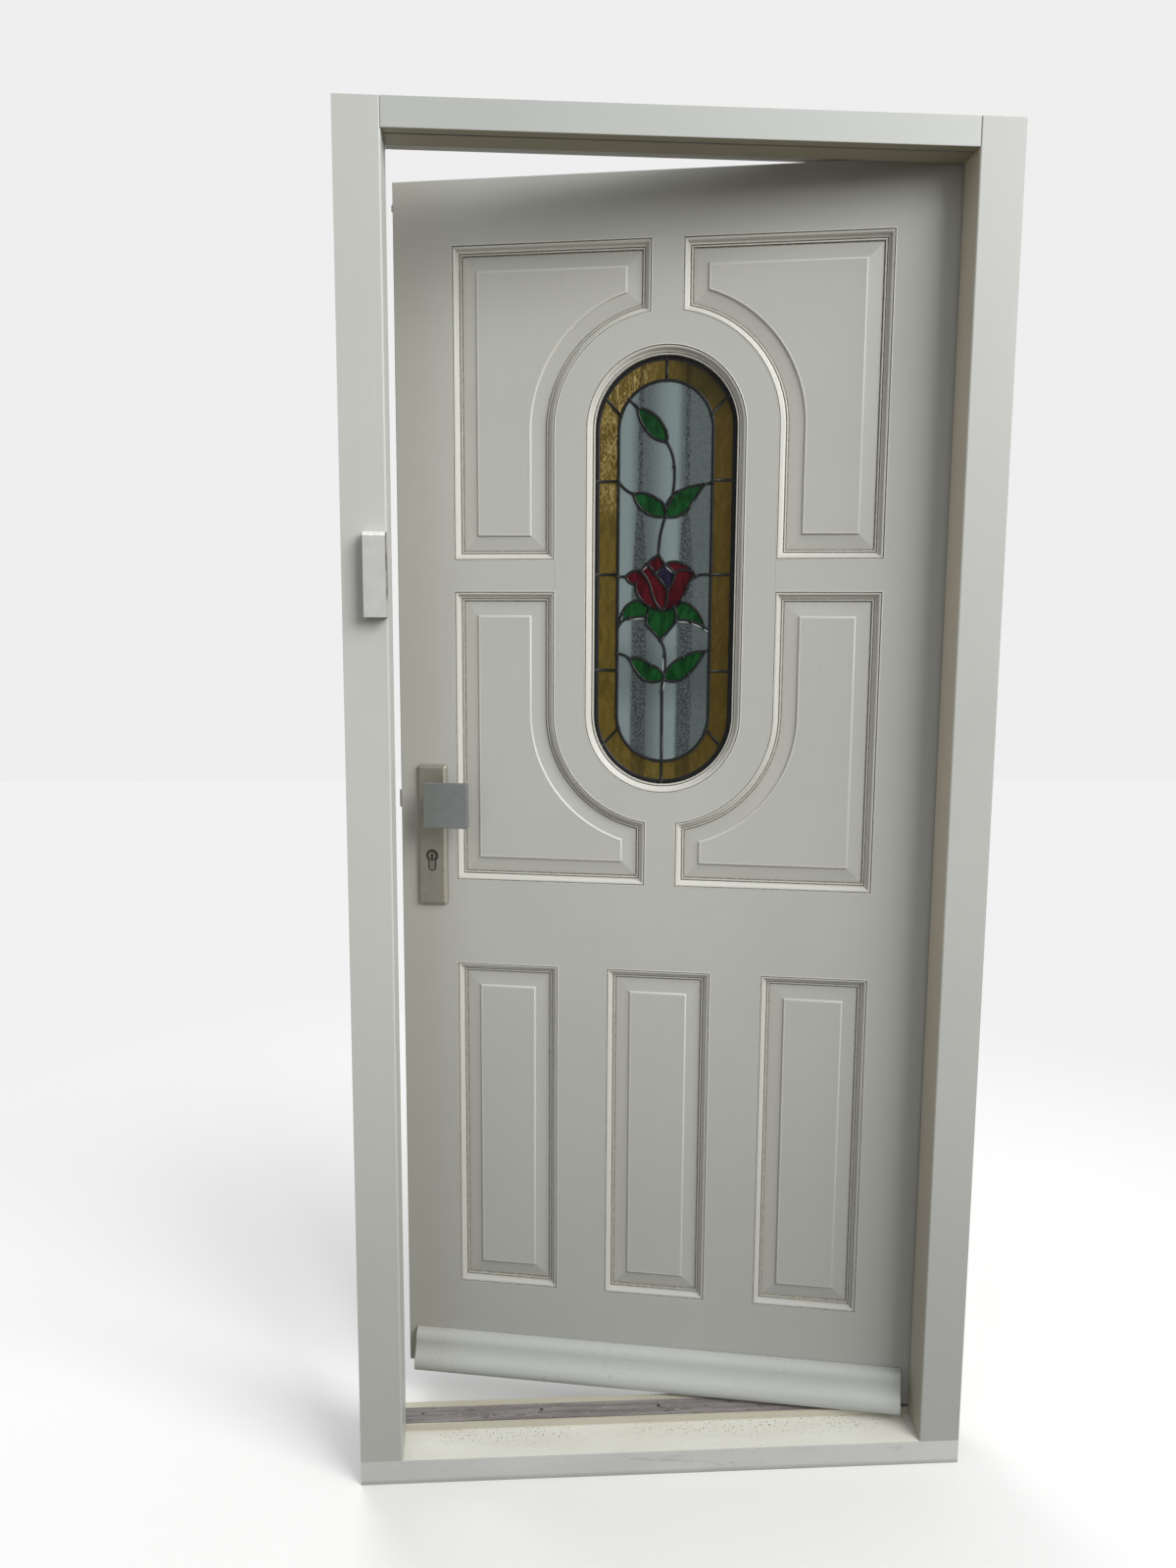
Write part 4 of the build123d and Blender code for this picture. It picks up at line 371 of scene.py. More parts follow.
def metal(name, colour, rough=0.34, brushed="Z", on_leaf=True, metallic=0.9):
    """Brushed metal with faint handling marks, and painted shade in its deep corners."""
    f = Finish(name)
    place = f.place(on_leaf)
    hair = f.fibre(place, BRUSHED[brushed], 2.0)
    cloud = f.noise(place, 55.0, 4.0, 0.6)
    tone = f.mix(f.times(f.step(hair, 0.35, 0.75), 0.22), colour, shade(colour, 0.6))
    tone = f.over(tone, f.step(cloud, 0.45, 0.75), 0.5, shade(colour, 0.72))
    # Painted shade: deep corners, found by ambient occlusion, are darkened.
    metal_corner_shade = f.step(f.crevice_shade(0.003), 0.3, 0.9)
    tone = f.over(tone, metal_corner_shade, 0.5, srgb(40, 36, 30))
    gloss = f.plus(f.times(cloud, 0.2), rough - 0.06)
    f.set(Base_Color=tone, Metallic=metallic, Roughness=gloss, Normal=f.bump(hair, 0.00004, 0.5))
    return f.mat


def rubber():
    """Black rubber of the weather seal."""
    f = Finish("seal_rubber")
    place = f.place()
    grain = f.noise(place, 400.0, 3.0)
    tone = f.mix(grain, srgb(34, 33, 31), srgb(58, 56, 52))
    f.set(Base_Color=tone, Roughness=0.75, Normal=f.bump(grain, 0.0001, 0.5))
    return f.mat


def lead(name="lead", dark=srgb(10, 12, 12), pale=srgb(26, 29, 29)):
    """Dull dark lead with a little bloom."""
    f = Finish(name)
    place = f.place(True)
    cloud = f.noise(place, 90.0, 4.0, 0.6)
    tone = f.mix(f.step(cloud, 0.35, 0.75), dark, pale)
    wrinkle = f.noise(place, 420.0, 3.0)
    f.set(Base_Color=tone, Metallic=0.0, Roughness=0.4, Normal=f.bump(wrinkle, 0.00012, 0.6))
    f.set(Specular_IOR_Level=0.3)
    return f.mat


def bands(f, place):
    """Share of the two soft dark bars in the glass, share of its paler stretches, and x and z. Both are
    painted surroundings seen in the glass.
    """
    x, _, z = f.split(place)
    ragged = f.swing(f.noise(place, 260.0, 3.0, 0.7), 0.007)
    wander = f.swing(f.fibre(place, (0.0, 0.0, 7.0), 3.0, 0.5), 0.006)
    across = f.plus(f.plus(x, ragged), wander)
    width = f.plus(f.times(f.step(z, *BAR_TAPER), 0.0085), 0.0035)
    shares = [f.outside(f.step(f.math("DIVIDE", f.beyond(across, middle), width), 0.75, 1.25))
              for middle in BAR_MIDDLES]
    left = f.outside(f.step(x, *PALE_LEFT))
    middle = f.times(f.step(x, *PALE_MIDDLE[0]), f.outside(f.step(x, *PALE_MIDDLE[1])))
    return f.math("MAXIMUM", *shares), f.math("MAXIMUM", left, middle), x, z


def field_glass():
    """Pale blue-grey glass with a fine hammered surface, and painted surroundings seen in it."""
    f = Finish("grey_glass")
    place = f.place(True)
    dark, pale, _, z = bands(f, place)
    mottle = f.noise(place, 320.0, 3.0, 0.7)
    # Painted surroundings seen in the glass: paler stretches.
    tone = f.mix(pale, srgb(86, 96, 97), srgb(130, 145, 147))
    tone = f.over(tone, f.step(mottle, 0.35, 0.75), 0.20, srgb(154, 166, 166))
    # Painted reflection: a soft dark band across the glass.
    dark_reflection = f.outside(f.step(f.beyond(z, DARK_REFLECTION_Z), 0.012, 0.075))
    tone = f.over(tone, dark_reflection, 0.34, srgb(62, 68, 68))
    coal = f.mix(f.step(mottle, 0.35, 0.65), srgb(40, 46, 48), srgb(90, 98, 100))
    # Painted surroundings seen in the glass: dark bars.
    tone = f.over(tone, dark, 0.85, coal)
    f.set(Base_Color=tone, Roughness=0.16, Transmission_Weight=0.12, IOR=1.5, Specular_IOR_Level=0.22)
    f.set(Normal=f.bump(f.noise(place, 170.0, 2.0), 0.0005, 0.35))
    return f.mat


def amber_glass():
    """Streaky amber glass, with pale wisps at its upper left."""
    f = Finish("amber_glass")
    place = f.place(True)
    dark, _, x, z = bands(f, place)
    swirl = f.fibre(place, (60.0, 60.0, 22.0), 5.0, 0.62, 1.6)
    tone = f.mix(f.step(swirl, 0.3, 0.7), srgb(84, 71, 29), srgb(108, 93, 43))
    tone = f.over(tone, f.step(x, *AMBER_DEEPER), 0.55, srgb(68, 54, 20))
    wisp = f.step(f.fibre(place, (130.0, 130.0, 50.0), 4.0, 0.6, 2.4), 0.44, 0.68)
    corner = f.times(f.step(z, *WISP_LOW), f.outside(f.step(x, *WISP_LEFT)))
    tone = f.over(tone, f.times(wisp, corner), 0.8, srgb(192, 170, 112))
    top = f.times(f.step(z, *AMBER_TOP), f.step(x, *AMBER_TOP_RIGHT))
    tone = f.over(tone, top, 0.6, srgb(44, 44, 26))
    # Painted surroundings seen in the glass: dark bars.
    tone = f.over(tone, dark, 0.45, srgb(38, 30, 14))
    f.set(Base_Color=tone, Roughness=0.14, Transmission_Weight=0.1, IOR=1.5, Specular_IOR_Level=0.18)
    f.set(Normal=f.bump(swirl, 0.0008, 0.3))
    return f.mat


def stained_glass(name, deep, light):
    """Clear coloured glass, uneven in depth of colour."""
    f = Finish(name)
    place = f.place(True)
    streak = f.fibre(place, (70.0, 70.0, 26.0), 3.0, 0.5, 0.8)
    tone = f.mix(f.step(streak, 0.32, 0.68), deep, light)
    f.set(Base_Color=tone, Roughness=0.1, Transmission_Weight=0.12, IOR=1.5, Specular_IOR_Level=0.18)
    f.set(Normal=f.bump(streak, 0.0006, 0.25))
    return f.mat


def clear_glass():
    """Colourless glass of the inner pane."""
    f = Finish("clear_glass")
    wave = f.noise(f.place(True), 14.0, 1.0)
    tone = f.mix(wave, srgb(243, 248, 246), srgb(250, 252, 251))
    f.set(Base_Color=tone, Roughness=0.0, Transmission_Weight=1.0, IOR=1.45)
    f.set(Normal=f.bump(wave, 0.0004, 0.1))
    return f.mat


LEAF = srgb(190, 191, 186)
FRAME = srgb(196, 198, 193)
BOARD = srgb(200, 203, 199)


def dress(names, material):
    """Give model nodes one material."""
    for name in names:
        node = nodes[name]
        node.data.materials.clear()
        node.data.materials.append(material)


def finishes():
    """Give every node of the model its finish."""
    upright = paint("leaf_paint_upright", LEAF, "Z")
    level = paint("leaf_paint_level", LEAF, "X")
    dress(["latch_stile", "latch_edge_lipping", "hinge_stile", "muntin_top", "muntin_below_light",
           "muntin_low_left", "muntin_low_right"], upright)
    dress(["light_ring"], paint("leaf_paint_ring", LEAF, "Z", seam=RING_RADIUS * MM))
    dress(["top_rail", "lock_rail", "bottom_rail", "cross_rail_left", "cross_rail_right"], level)
    panel = paint("leaf_paint_panel", srgb(190, 191, 185), "Z", dirt_and_shade=0.7, slopes=0.2)
    dress([n for n in nodes if n.startswith("panel_")] + ["glazing_bead"], panel)
    dress(["weatherboard"], paint("weatherboard_paint", BOARD, "X", dirt_and_shade=0.4, rough=0.28, specks=0.6))
    dress(["jamb_latch_side"], paint("frame_paint_latch_side", FRAME, "Z", False, dirt_and_shade=0.6))
    # The hinge-side jamb is darker than the latch side, painted shade; its reveal is paler and warm, painted
    # bounced light.
    dress(["jamb_hinge_side"], paint("frame_paint_hinge_side", srgb(181, 183, 179), "Z", False, dirt_and_shade=0.6,
                                      reveal=("X", JAMB_REVEAL_X, srgb(213, 202, 180))))
    # The head is darker than the latch-side jamb, painted shade; its soffit is dark brown, painted shade.
    dress(["head_rail"], paint("frame_paint_level", srgb(184, 187, 184), "X", False, dirt_and_shade=0.6,
                                reveal=("Z", HEAD_SOFFIT_Z, srgb(135, 127, 97))))
    dress(["jamb_block"], block_paint())
    dress(["sill"], sill_paint())
    dress(["threshold_strip"], strip_metal())
    dress(["threshold_screws"], metal("threshold_screw_steel", srgb(96, 88, 78), 0.5, "Y", False))
    steel = metal("screw_steel", srgb(150, 148, 144), 0.35, "Y")
    dress(["strike_screws", "hinge_frame_screws", "hinge_leaf_screws", "lock_screws", "plate_screws"], steel)
    dress(["weather_seal"], rubber())
    lock = metal("lock_steel", srgb(168, 166, 161), 0.33)
    dress(["strike_plate", "lock_case", "lock_faceplate", "latch_bolt", "deadbolt", "follower",
           "edge_lug"], lock)
    hinge = metal("hinge_steel", srgb(160, 158, 152), 0.36)
    dress(["hinge_frame_flaps", "hinge_leaf_flaps", "hinge_pins"], hinge)
    satin = metal("satin_furniture", srgb(152, 148, 136), 0.42, "Z", metallic=0.6)
    dress(["backplate_outside", "backplate_inside", "inside_lever"], satin)
    dress(["outside_knob"], metal("knob_metal", srgb(136, 139, 138), 0.45, "Z", metallic=0.6))
    cylinder = metal("cylinder_metal", srgb(150, 146, 136), 0.3, "Y")
    dress(["cylinder_body", "cylinder_plug", "cylinder_cam"], cylinder)
    dress(["lead_cames"], lead())
    dress(["glass_border"], amber_glass())
    dress(["glass_field"], field_glass())
    dress(["glass_leaves"], stained_glass("green_glass", srgb(12, 52, 22), srgb(26, 82, 38)))
    dress(["glass_petals"], stained_glass("red_glass", srgb(52, 10, 17), srgb(84, 20, 29)))
    dress(["glass_heart"], stained_glass("violet_glass", srgb(22, 20, 38), srgb(42, 36, 62)))
    dress(["inner_pane"], clear_glass())
    dress(["glazing_spacer"], metal("spacer_metal", srgb(120, 122, 122), 0.4, "Z"))


def crease(piece, degrees):
    """Keep the edges sharp that turn by more than an angle."""
    made = piece.modifiers.new("creases", "EDGE_SPLIT")
    made.split_angle = math.radians(degrees)


def round_off(names, degrees=30.0):
    """Shade curved model nodes smoothly and keep their creases."""
    for name in names:
        node = nodes[name]
        node.data.polygons.foreach_set("use_smooth", [True] * len(node.data.polygons))
        weld = node.modifiers.new("welded", "WELD")
        weld.merge_threshold = 0.00001
        crease(node, degrees)


def soften(names, width, angle=35.0):
    """Ease the arrises of model nodes."""
    for name in names:
        made = nodes[name].modifiers.new("eased", "BEVEL")
        made.width = width
        made.segments = 2
        made.limit_method = "ANGLE"
        made.angle_limit = math.radians(angle)
        made.harden_normals = False


# Mesh work

def mesh_object(name, bm, material, body, smooth=True):
    """Turn a bmesh drawn on the shut leaf, in millimetres, into a piece on a body."""
    data = bpy.data.meshes.new(name)
    bm.normal_update()
    bm.to_mesh(data)
    bm.free()
    data.transform(SHUT_TO_ROW)
    data.polygons.foreach_set("use_smooth", [smooth] * len(data.polygons))
    data.materials.append(material)
    piece = bpy.data.objects.new(name, data)
    bpy.context.scene.collection.objects.link(piece)
    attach(piece, body)
    return piece


def around(x, z, radius, start, turn, pieces):
    """Points on an arc that starts at an angle and goes through a turn."""
    angles = [start + turn * i / pieces for i in range(pieces + 1)]
    return [Vector((x + radius * math.cos(angle), z + radius * math.sin(angle))) for angle in angles]


def arc(a, b, bow, pieces=8):
    """Points along a line that bulges to its left by bow, or three points where it doesn't."""
    a = Vector(a)
    b = Vector(b)
    if not bow:
        return [a.lerp(b, i / 2) for i in range(3)]
    run = (b - a).length
    left = Vector((-(b - a).y, (b - a).x)) / run
    radius = (run * run / 4 + bow * bow) / (2 * bow)
    centre = (a + b) / 2 + left * (bow - radius)
    start = math.atan2(a.y - centre.y, a.x - centre.x)
    end = math.atan2(b.y - centre.y, b.x - centre.x)
    turn = (end - start + math.pi) % (2 * math.pi) - math.pi
    return around(centre.x, centre.y, abs(radius), start, turn, pieces)


def oval(radius, pieces=32):
    """Points round the oval of the light, from its middle."""
    upper = around(0.0, LIGHT_HALF_RUN, radius, 0.0, math.pi, pieces)
    return upper + around(0.0, -LIGHT_HALF_RUN, radius, math.pi, math.pi, pieces)


def came_section(width, front, back, sides=12):
    """Round-faced bar: offset across, and depth between the places of its front and back."""
    roundness = 0.7
    crown = 0.8
    points = []
    for i in range(sides):
        turn = 2 * math.pi * i / sides
        c = math.cos(turn)
        s = math.sin(turn)
        across = math.copysign(abs(c) ** roundness, c) * width / 2
        depth = (front + back) / 2 - math.copysign(abs(s) ** crown, s) * (back - front) / 2
        points.append((across, depth))
    return points


def sweep(bm, path, section, closed=False, base=0.0):
    """Run a section of offsets and depths along a path on the leaf, whose heights start at base."""
    shortest = 1e-6
    tightest = 0.4
    rings = []
    count = len(path)
    for i, point in enumerate(path):
        before = path[i - 1] if i or closed else point
        after = path[(i + 1) % count] if i < count - 1 or closed else point
        into = (point - before).normalized() if (point - before).length > shortest else None
        out = (after - point).normalized() if (after - point).length > shortest else None
        into = into or out
        out = out or into
        heading = (into + out).normalized()
        left = Vector((-heading.y, heading.x))
        stretch = 1.0 / max(tightest, left.dot(Vector((-into.y, into.x))))
        ring = []
        for across, depth in section:
            flat = point + left * across * stretch
            ring.append(bm.verts.new((flat.x, depth, base + flat.y)))
        rings.append(ring)
    size = len(section)
    pairs = list(zip(rings, rings[1:]))
    if closed:
        pairs.append((rings[-1], rings[0]))
    for one, two in pairs:
        for k in range(size):
            bm.faces.new((one[k], one[(k + 1) % size], two[(k + 1) % size], two[k]))
    if not closed:
        bm.faces.new(rings[0])
        bm.faces.new(list(reversed(rings[-1])))


# Leaded light, drawn from the middle of the glass
# An outline is closed and gives each point the bow of the side after it. A line has two ends and a bow.

LEAVES = [
    [((-46, 262), 9), ((0, 225), 2), ((1, 209), 5), ((-32, 228), 3)],
    [((-51, 128), 5), ((-12, 119), 3), ((1, 104), 0), ((1, 92), 3), ((-30, 98), 4)],
    [((1, 104), 4), ((20, 131), 2), ((62, 142), 0), ((38, 104), 6), ((1, 92), 0)],
    [((-55, -136), 5), ((-20, -146), 4), ((2, -164), 0), ((1, -169), 5), ((-34, -168), 2)],
    [((2, -164), 5), ((32, -133), 3), ((68, -123), 2), ((42, -161), 7), ((1, -169), 0)],
    [((-36, -41), -7), ((-68, -63), -1), ((-74, -84), 3), ((-56, -70), 1), ((-28, -68), 0), ((-24, -50), 2)],
    [((-24, -50), 0), ((-28, -68), -3), ((-22, -86), 0), ((-4, -106), 0), ((20, -76), -2), ((17, -52), 6)],
    [((17, -52), 2), ((20, -73), 1), ((44, -75), 1), ((66, -84), -9), ((28, -42), 2)],
]
FLOWER = [((-62, -3), 4), ((-38, 6), 1), ((-27, 17), 2), ((-9, 31), 0), ((1, 16), 4), ((30, 17), 4),
          ((51, -3), -3), ((38, -20), 0), ((28, -42), 2), ((17, -52), 6), ((-24, -50), 2),
          ((-36, -41), 3), ((-46, -15), 4)]
HEART = [((-14, 1), 0), ((1, 16), 1), ((17, 3), 3), ((6, -24), 0)]
PETALS = [((-38, 6), (-20, -28), 3), ((-20, -28), (-5, -56), -2), ((-27, 17), (-14, 1), 0),
          ((6, -24), (0, -56), 2), ((17, 3), (43, 6), 3)]
STEMS = [((-58.9, 274.8), (-46, 262), 0), ((1, 209), (14, 170), 3), ((14, 170), (11, 122), 2),
         ((11, 122), (1, 104), 1), ((-INNER_RADIUS, 149), (-51, 128), -3),
         ((62, 142), (INNER_RADIUS, 144), 0), ((1, 92), (-9, 31), -3),
         ((-INNER_RADIUS, -4), (-62, -3), 0), ((51, -3), (INNER_RADIUS, -1), 2),
         ((66, -84), (INNER_RADIUS, -92), 1), ((-4, -106), (3, -130), 2), ((3, -130), (2, -164), 1),
         ((-INNER_RADIUS, -128), (-55, -136), 2), ((68, -123), (INNER_RADIUS, -120), 0),
         ((1, -169), (-1, -190), -1), ((-1, -190), (0, -LIGHT_HALF_RUN - INNER_RADIUS), 0)]


def outline_lines(outline):
    """The sides of a closed outline as lines."""
    for i, (point, bow) in enumerate(outline):
        yield point, outline[(i + 1) % len(outline)][0], bow


def border_lines():
    """Short cames across the amber border."""
    outer = SIGHT_RADIUS + CAME_TUCK
    levels = (148.0, 0.0, -155.0)
    low = math.radians(17)
    high = math.radians(28)
    rise = LIGHT_HALF_RUN
    lines = [((0, up * (rise + INNER_RADIUS)), (0, up * (rise + outer)), 0) for up in (-1, 1)]
    for side in (-1, 1):
        lines += [((side * INNER_RADIUS, z), (side * outer, z), 0) for z in levels]
        for up in (-1, 1):
            near = (side * INNER_RADIUS * math.cos(low), up * (rise + INNER_RADIUS * math.sin(low)))
            far = (side * outer * math.cos(high), up * (rise + outer * math.sin(high)))
            lines.append((near, far, 0))
    return lines


def solder(bm, point, unevenness=0.18, waves=1.7):
    """A low uneven blob where cames meet, on both faces of the glass."""
    x, z = point
    for depth in (CAME_FRONT - SOLDER_PROUD, CAME_BACK + SOLDER_PROUD):
        made = bmesh.ops.create_icosphere(bm, subdivisions=2, radius=1.0)
        for vert in made["verts"]:
            wobble = 1.0 + unevenness * noise.noise(vert.co * waves + Vector((x, 0, z)))
            vert.co = Vector((x + vert.co.x * SOLDER_RADIUS * wobble, depth + vert.co.y * SOLDER_HEIGHT,
                              LIGHT_Z + z + vert.co.z * SOLDER_RADIUS * wobble))


def lead_lines():
    """Rounded cames and their soldered joints, in place of the flat ones, and a near-black rim came that is
    partly painted shadow.
    """
    front = CAME_FRONT - CAME_CROWN
    lines = []
    for outline in [*LEAVES, FLOWER, HEART]:
        lines += list(outline_lines(outline))
    lines += PETALS + STEMS + border_lines()
    bm = bmesh.new()
    section = came_section(CAME_WIDTH, front, CAME_BACK)
    ends = set()
    for a, b, bow in lines:
        sweep(bm, arc(a, b, bow), section, base=LIGHT_Z)
        ends.add(tuple(round(v) for v in a))
        ends.add(tuple(round(v) for v in b))
    for point in sorted(ends):
        solder(bm, point)
    border = came_section(CAME_WIDTH + BORDER_WIDER, front, CAME_BACK)
    sweep(bm, oval(INNER_RADIUS), border, True, LIGHT_Z)
    piece = mesh_object("lead_lines", bm, lead("lead_line_metal"), "leaf")
    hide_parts("lead_cames")
    # The rim came is wide and near black: part lead came, part painted shadow round the sight edge.
    bm = bmesh.new()
    rim = came_section(GLASS_EDGE - RIM_RADIUS, CAME_FRONT, CAME_BACK)
    sweep(bm, oval((RIM_RADIUS + GLASS_EDGE) / 2), rim, True, LIGHT_Z)
    piece = mesh_object("rim_came_and_shadow", bm, lead("lead_rim_and_shadow", srgb(10, 11, 10), srgb(22, 24, 22)), "leaf")


# Mouldings, finer than the flats they lie on: distance in from the opening's edge, and depth below the face

OGEE = [(-1.4, 0.02), (-1.0, -0.22), (-0.5, -0.36), (0.0, -0.25), (0.25, 0.25), (0.4, 1.3), (0.9, 1.5),
        (1.4, 1.35), (1.6, 1.0), (2.2, 0.9), (3.2, 1.15), (4.3, 1.85), (5.2, 3.0), (6.0, 4.4),
        (6.8, 5.8), (7.7, 7.0), (8.8, 7.75), (10.0, 8.1), (10.35, 8.5), (10.6, 9.3), (11.0, 9.45),
        (11.4, 9.2), (11.7, 8.6), (12.3, 8.25), (13.0, 8.3), (13.6, 8.7), (13.9, 9.5), (14.1, 10.5),
        (14.6, 10.72), (15.5, 10.62), (16.1, 10.75)]
LIGHT_OGEE = OGEE[:26] + [(13.8, 9.6), (13.95, 12.6)]
LIGHT_MARGIN = 14.0                        # width of the moulding round the light
QUIRKS = ((4, 8), (17, 22), (25, 30))      # spans of the section that hold dirt and painted shade
FIELD_MARGIN = 39.0                        # opening's edge to the raised field
FIELD_EDGE = [(-1.0, 6.12), (-0.6, 5.2), (0.1, 4.25), (0.9, 3.5), (1.6, 3.22), (2.4, 3.3), (3.0, 3.48)]
PANEL_X = 344.0
HALF_MUNTIN = 25.0
TOP_EDGE = 1978.0
LOCK_TOP = 953.0
LOCK_LOW = 807.0
BOTTOM_EDGE = 222.0
CROSS_Z = 1462.0
CROSS_HALF = 25.5
LOW_WIDTH = 173.0
LOW_LEFTS = (-PANEL_X, -LOW_WIDTH / 2, PANEL_X - LOW_WIDTH)


def quarter(upper, margin, pieces=20):
    """The ring's arc from beside the light to the muntin, on the left, with a margin inside the opening."""
    sign = 1.0 if upper else -1.0
    middle = LIGHT_Z + sign * LIGHT_HALF_RUN
    radius = RING_RADIUS + margin
    reach = math.acos((HALF_MUNTIN + margin) / radius)
    return around(0.0, middle, radius, math.pi, -sign * reach, pieces)


def opening_outlines(margin=0.0):
    """Closed outlines of the seven panel openings, anticlockwise, with a margin inside each."""
    outlines = []
    side = -PANEL_X + margin
    ring = -RING_RADIUS - margin
    near = -HALF_MUNTIN - margin
    top = TOP_EDGE - margin
    above = CROSS_Z + CROSS_HALF + margin
    below = CROSS_Z - CROSS_HALF - margin
    foot = LOCK_TOP + margin
    upper = [Vector(p) for p in ((near, top), (side, top), (side, above), (ring, above))]
    upper += quarter(True, margin)
    lower = [Vector(p) for p in ((ring, below), (side, below), (side, foot), (near, foot))]
    lower += reversed(quarter(False, margin))
    for outline in (upper, lower):
        outlines.append(outline)
        outlines.append([Vector((-p.x, p.y)) for p in reversed(outline)])
    for x in LOW_LEFTS:
        left = x + margin
        right = x + LOW_WIDTH - margin
        head = LOCK_LOW - margin
        low = BOTTOM_EDGE + margin
        outlines.append([Vector(p) for p in ((right, head), (left, head), (left, low), (right, low))])
    return outlines


def run_inside(bm, path, front):
    """Lay a thin closed section round an outline that runs anticlockwise, on the leaf's outer face."""
    face = FACE_Y - LIFT
    back = [(inward, depth + SKIN) for inward, depth in reversed(front)]
    sweep(bm, path, [(inward, face + depth) for inward, depth in front + back], True)


def moulding_runs():
    """Each outline with the section that is laid round it."""
    runs = [(outline, OGEE) for outline in opening_outlines()]
    light_edge = [Vector((p.x, LIGHT_Z + p.y)) for p in oval(SIGHT_RADIUS + LIGHT_MARGIN)]
    runs.append((light_edge, LIGHT_OGEE))
    return runs


def groove_dirt_and_shade():
    """Old dirt settled in the narrow grooves of the paintwork, with painted shade."""
    f = Finish("groove_dirt_and_shade_paint")
    # Darker tones in the quirks: dirt and painted shade.
    place = f.place(True)
    patch = f.noise(place, 160.0, 4.0, 0.65)
    tone = f.mix(f.step(patch, 0.25, 0.75), srgb(112, 107, 92), srgb(156, 153, 142))
    f.set(Base_Color=tone, Roughness=0.8, Normal=f.bump(patch, 0.0002, 0.5), Specular_IOR_Level=0.2)
    return f.mat


def mouldings():
    """Ogee mouldings round the panels and the light, and the dirt and painted shade in their quirks."""
    clean = bmesh.new()
    soiled_and_shaded = bmesh.new()
    for outline, section in moulding_runs():
        last = len(section) - 1
        begin = 0
        for a, b in QUIRKS:
            if a >= last:
                continue
            b = min(b, last)
            run_inside(clean, outline, section[begin:a + 1])
            run_inside(soiled_and_shaded, outline, section[a:b + 1])
            begin = b
        if begin < last:
            run_inside(clean, outline, section[begin:])
    for outline in opening_outlines(FIELD_MARGIN):
        run_inside(clean, outline, FIELD_EDGE)
    # The mouldings get a paler paint than the leaf: painted light.
    paler_moulding_paint = paint("moulding_paint", srgb(205, 205, 198), "Z", dirt_and_shade=0.5, rough=0.32)
    for name, bm, material in (("face_mouldings", clean, paler_moulding_paint), ("moulding_grooves", soiled_and_shaded, groove_dirt_and_shade())):
        bmesh.ops.recalc_face_normals(bm, faces=bm.faces)
        piece = mesh_object(name, bm, material, "leaf")
        crease(piece, 42.0)


# Furniture details

def profile_outline(grow):
    """Outline of the lock cylinder's face, anticlockwise from the foot of its round top."""
    radius = CYLINDER_RADIUS + grow
    neck = CYLINDER_NECK + grow
    foot = CYLINDER_Z + CYLINDER_RADIUS - CYLINDER_HEIGHT + CYLINDER_NECK
    join = math.asin(neck / radius)
    top = around(CYLINDER_X, CYLINDER_Z, radius, -math.pi / 2 + join, 2 * math.pi - 2 * join, 24)
    return top + around(CYLINDER_X, foot, neck, math.pi, math.pi, 12)


def circle_points(radius, count=32):
    """Points round the middle of the lock cylinder."""
    return around(CYLINDER_X, CYLINDER_Z, radius, 0.0, 2 * math.pi, count)[:-1]


def band_between(bm, outer, inner, front):
    """Thin ring between two outlines of the same count, from the place of its front backwards."""
    rows = []
    back = front + JOINT_THICK
    for outline, depth in ((outer, front), (inner, front), (inner, back), (outer, back)):
        rows.append([bm.verts.new((p.x, depth, p.y)) for p in outline])
    count = len(outer)
    for one, two in zip(rows, rows[1:] + rows[:1]):
        for i in range(count):
            k = (i + 1) % count
            bm.faces.new((one[i], one[k], two[k], two[i]))


def dark_gap():
    """Near black of a joint that light doesn't reach."""
    f = Finish("dark_gap")
    grain = f.noise(f.place(True), 900.0, 2.0)
    f.set(Base_Color=f.mix(grain, srgb(6, 6, 5), srgb(20, 18, 16)), Roughness=0.7)
    return f.mat


def cylinder_face():
    """Dark joints round the cylinder, its plug and the keyway, as painted shadow."""
    bm = bmesh.new()
    plate_front = FACE_Y - PLATE_THICK
    cylinder_front = plate_front - CYLINDER_PROUD
    # Near-black bands laid on the joints: painted shadow.
    band_between(bm, profile_outline(CYLINDER_JOINT), profile_outline(0.0), plate_front - JOINT_LIFT)
    for (outer, inner), lift in ((PLUG_JOINT, JOINT_LIFT), (KEYWAY_JOINT, KEYWAY_LIFT)):
        band_between(bm, circle_points(outer), circle_points(inner), cylinder_front - lift)
    bmesh.ops.recalc_face_normals(bm, faces=bm.faces)
    piece = mesh_object("cylinder_joint_shadows", bm, dark_gap(), "leaf", smooth=False)


# Stage

BACKDROP = (0.86, 0.86, 0.86, 1.0)
FLOOR_HALF = 9.0
FLOOR_DROP = 0.0006
FLOOR_FADE = (1.2, 2.8)    # the floor turns into the backdrop between these distances


def studio():
    """Pale floor, pale surroundings and soft light from above, strongest from the upper right."""
    bm = bmesh.new()
    bmesh.ops.create_grid(bm, x_segments=1, y_segments=1, size=FLOOR_HALF)
    data = bpy.data.meshes.new("floor")
    bm.to_mesh(data)
    bm.free()
    data.materials.append(floor_finish())
    floor = bpy.data.objects.new("floor", data)
    floor.location = (0.0, 0.0, -FLOOR_DROP)
    bpy.context.scene.collection.objects.link(floor)
    world()
    lamp("key", place=(4.0, -4.4, 4.7), target=(0.0, 0.0, 1.15), size=4.4, power=500.0,
         colour=(1.0, 0.995, 0.985))
    lamp("back", place=(-1.8, 3.8, 3.2), target=(0.0, 0.0, 1.1), size=2.6, power=90.0,
         colour=(1.0, 1.0, 1.0))


